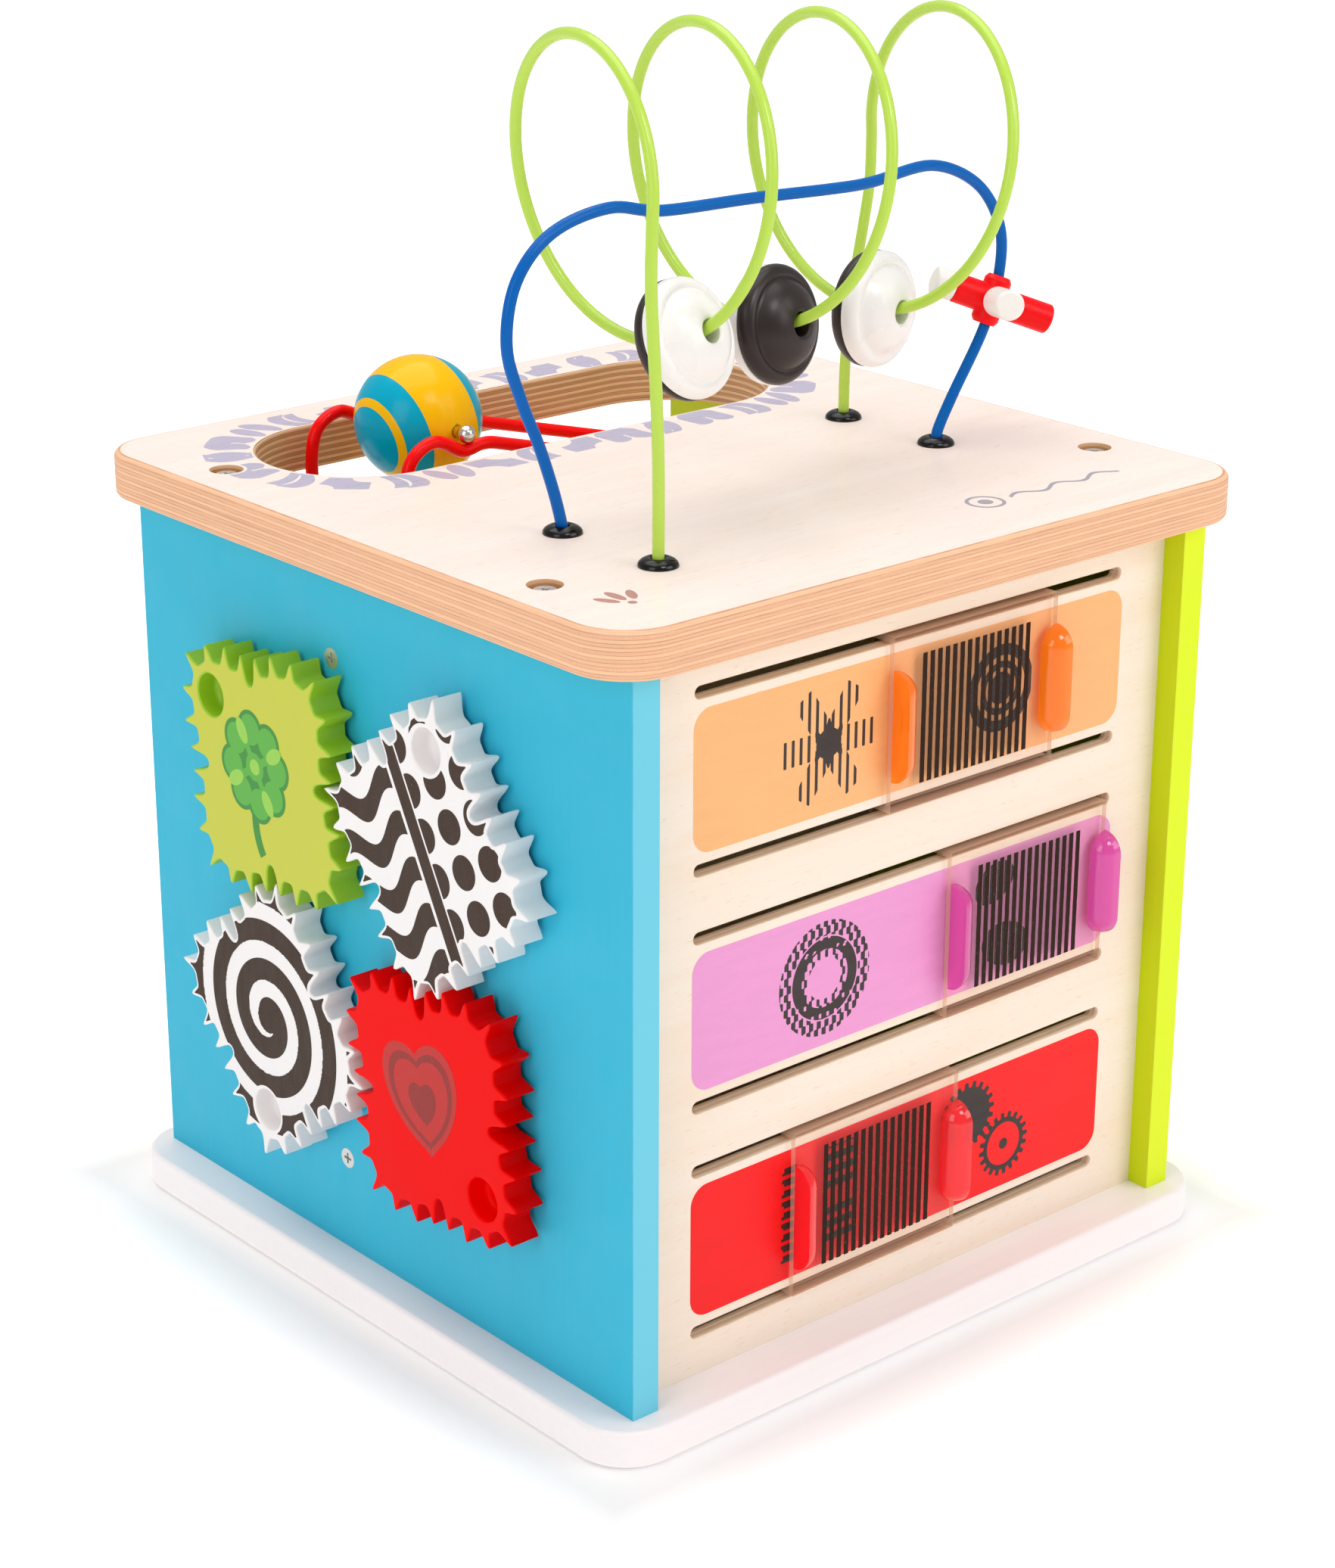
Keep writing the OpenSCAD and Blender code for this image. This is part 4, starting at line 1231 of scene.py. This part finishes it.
def spiral(x, y):
    cx, cy = -1.5, 1.0
    r = np.hypot(x - cx, y - cy)
    a = np.degrees(np.arctan2(y - cy, x - cx))
    phase = (r - 3.0 + 16.2 * (a - 20) / 360) % 16.2
    return np.where(r < 6.5, 6.5 - r, 4.6 - np.abs(phase - 4.6))


def bold_mix(x, y):
    u, v = x * 0.88 + y * 0.47, y * 0.88 - x * 0.47
    waves = 4.5 - np.abs((v + 4.6 * np.sin(u / 5.6) + 87.5) % 17.5 - 8.75)
    dots = 6.6 - np.hypot((u - 12.5 + 85) % 17 - 8.5, (v + 3 + 85) % 17 - 8.5)
    return either(both(waves, -5.5 - u), both(dots, u - 3.6), both(3.2 - np.abs(u + 0.6), 99 - v))


gear_print("spiral", 3, on_gear(3, spiral), "brown_ink")
gear_print("bold_shapes", 2, on_gear(2, bold_mix), "brown_ink")


def clover(cx, cy, turn, size, grow):
    def shape(x, y):
        leaves = []
        for q in range(4):
            ux, uy = cosd(turn + 90 * q + 45), sind(turn + 90 * q + 45)
            for s in (-1, 1):
                px = cx + size * (0.62 * ux - s * 0.25 * uy)
                py = cy + size * (0.62 * uy + s * 0.25 * ux)
                leaves.append(disc(x, y, px, py, size * 0.36 + grow))
            leaves.append(bar(x, y, cx + size * 0.4 * ux, cy + size * 0.4 * uy, size * 0.62 + grow,
                              size * 0.3 + 2 * grow, turn + 90 * q + 45))
        return either(disc(x, y, cx, cy, size * 0.34 + grow), *leaves)
    return shape


def clover_with_stalk(x, y):
    return either(clover(-3, 3, -14, 22, 0)(x, y), arc(x, y, 22, -18, 26, 4.4, 146, 214))


def clover_lights(x, y):
    lights = [oval(x, y, -3 + 15 * cosd(a), 3 + 15 * sind(a), 5.4, 3.0, a) for a in (31, 121, 211, 301)]
    return either(*lights, disc(x, y, -3, 3, 3.2))


gear_print("clover", 1, clover_with_stalk, "icon_dark_green", half=44, step=0.4)
gear_print("clover_leaf", 1, clover(-3, 3, -14, 22, -1.7), "icon_mid_green", INK_T, INK_T + 0.03, 44, 0.4)
gear_print("clover_light", 1, clover_lights, "icon_light_green", INK_T + 0.03, INK_T + 0.06, 44, 0.4)


def heart(size):
    def shape(x, y):
        u, v = local(x, y, -3, 0, 14)
        u, v = u / size, v / size
        return u * u * v ** 3 - (u * u + v * v - 1) ** 3
    return shape


def heart_line(x, y):
    return both(heart(17.0)(x, y), -heart(14.6)(x, y))


gear_print("heart", 4, heart(20), "icon_dark_red", half=40, step=0.4)
gear_print("heart_line", 4, heart_line, "icon_deep_red", INK_T, INK_T + 0.03, 40, 0.4)
gear_print("heart_core", 4, heart(7.4), "icon_deep_red", INK_T, INK_T + 0.03, 40, 0.4)


# ---------------------------------------------------------------- sliders

STRIPES, STRIPE_HALF_W, STRIPE_HALF_H, STRIPE_T = 15, 1.15, 25.2, 0.05
WINDOW_OUT = 3


def stripe_field(cx, cz, seed):
    """upright stripes of ink on a window's face, with slightly wavy edges"""
    face = FACE_Y - WINDOW_OUT
    verts, faces = [], []
    for s in range(STRIPES):
        x = cx + (s - STRIPES // 2) * STRIPE_PITCH
        rng = np.random.default_rng(seed + s)
        rows = np.linspace(cz - STRIPE_HALF_H, cz + STRIPE_HALF_H, 30)
        first = len(verts)
        last = first + 4 * (len(rows) - 1)
        for z in rows:
            w = STRIPE_HALF_W + rng.uniform(-0.05, 0.05, 2)
            verts += [(x + side, y, z) for y in (face - STRIPE_T, face) for side in (-w[0], w[1])]
        for a in range(first, last, 4):
            b = a + 4
            faces += [(a, a + 1, b + 1, b), (a + 2, b + 2, b + 3, a + 3), (a, b, b + 2, a + 2),
                      (a + 1, a + 3, b + 3, b + 1)]
        faces += [(first, first + 2, first + 3, first + 1), (last, last + 1, last + 3, last + 2)]
    return verts, faces


for k, grip in ((1, "grip_orange"), (2, "grip_magenta"), (3, "grip_red")):
    refine(f"window_{k}", "window_clear", 0.35, slot="clear_window")
    refine(f"grips_{k}", grip, 0.7, 3, 40)
    v, f = stripe_field(centre(f"window_{k}")[0], row_z[k - 1], 100 * k)
    make(f"stripes_{k}", v, f, ["stripe_ink"], f"slider_{k}", angle=30)


# ---------------------------------------------------------------- floor, light and camera

world = bpy.data.worlds.new("studio")
bpy.context.scene.world = world
world.use_nodes = True
tree = world.node_tree
sky = tree.nodes["Background"]
sky.inputs[0].default_value = (1.0, 1.0, 1.0, 1)
seen = tree.nodes.new("ShaderNodeLightPath")
level = tree.nodes.new("ShaderNodeMapRange")
level.inputs[3].default_value = 0.45
level.inputs[4].default_value = 1.0
tree.links.new(seen.outputs["Is Camera Ray"], level.inputs[0])
tree.links.new(level.outputs[0], sky.inputs[1])

# the floor glows towards the camera, so that it comes out nearly white, and less so close to the base board:
# that dip in the glow is a painted shade on the floor around the base
FLOOR_HALF = 30.0
floor_mesh = bpy.data.meshes.new("floor")
corners = [(x * FLOOR_HALF, y * FLOOR_HALF, 0) for x, y in ((-1, -1), (1, -1), (1, 1), (-1, 1))]
floor_mesh.from_pydata(corners, [], [(0, 1, 2, 3)])
floor = bpy.data.objects.new("floor", floor_mesh)
bpy.context.scene.collection.objects.link(floor)
floor.location.z = -0.0005
pale = Mat("floor_pale", Roughness=0.7, Base_Color=(0.86, 0.86, 0.86, 1), Emission_Color=(1, 1, 1, 1))
away = pale.math("MAXIMUM", *(pale.math("ABSOLUTE", pale.part(pale.co, k)) for k in (0, 1)))
lit = pale.node("ShaderNodeMix", data_type="FLOAT")
pale.link(pale.node("ShaderNodeLightPath").outputs["Is Camera Ray"], lit.inputs[0])
lit.inputs[2].default_value = 0.26
# painted shade: the glow seen by the camera drops from 0.62 to 0.1 towards the edge of the base board
pale.link(pale.range(away, 0.172, 0.222, 0.1, 0.62), lit.inputs[3])
pale.put(Emission_Strength=lit.outputs[0])
floor_mesh.materials.append(pale.mat)


def area_light(name, at, aim_z, size, power, colour=(1, 1, 1)):
    """a rectangular light that looks at a point over the middle of the base board"""
    data = bpy.data.lights.new(name, "AREA")
    data.shape = "RECTANGLE"
    data.size, data.size_y = size
    data.energy = power
    data.color = colour
    ob = bpy.data.objects.new(name, data)
    ob.location = at
    ob.rotation_mode = "QUATERNION"
    ob.rotation_quaternion = (Vector((0, 0, aim_z)) - Vector(at)).to_track_quat("-Z", "Y")
    bpy.context.scene.collection.objects.link(ob)
    return ob


area_light("key", (1.0, -2.0, 1.5), 0.2, (1.4, 1.4), 19, (1.0, 0.985, 0.96))
area_light("side", (-2.2, -0.6, 1.3), 0.2, (1.2, 1.6), 14)
area_light("over", (0.1, 0.5, 2.4), 0.2, (2.2, 2.2), 36, (1.0, 0.99, 0.975))

# a bright patch seen only in reflections, like the face of a studio lamp
lamp_face = area_light("lamp_face", (-0.15, -1.5, 2.1), 0.3, (0.7, 0.7), 14)
for flag in ("visible_diffuse", "visible_transmission", "visible_volume_scatter"):
    setattr(lamp_face, flag, False)

CAM_TURN, CAM_RISE, CAM_ROLL = math.radians(-41.106), math.radians(20.778), math.radians(0.211)
CAM_AT, CAM_LENS, CAM_SENSOR = (-0.8390, -0.9630, 0.6675), 78.08, 36
cam_data = bpy.data.cameras.new("camera")
cam_data.sensor_fit = "AUTO"
cam_data.sensor_width = CAM_SENSOR
cam_data.lens = CAM_LENS
cam_data.clip_start, cam_data.clip_end = 0.05, 100
cam = bpy.data.objects.new("camera", cam_data)
cam.matrix_world = (Matrix.Translation(CAM_AT) @ Matrix.Rotation(CAM_TURN, 4, "Z")
                    @ Matrix.Rotation(math.pi / 2 - CAM_RISE, 4, "X") @ Matrix.Rotation(CAM_ROLL, 4, "Z"))
bpy.context.scene.collection.objects.link(cam)
bpy.context.scene.camera = cam
bpy.context.scene.view_settings.view_transform = "Standard"
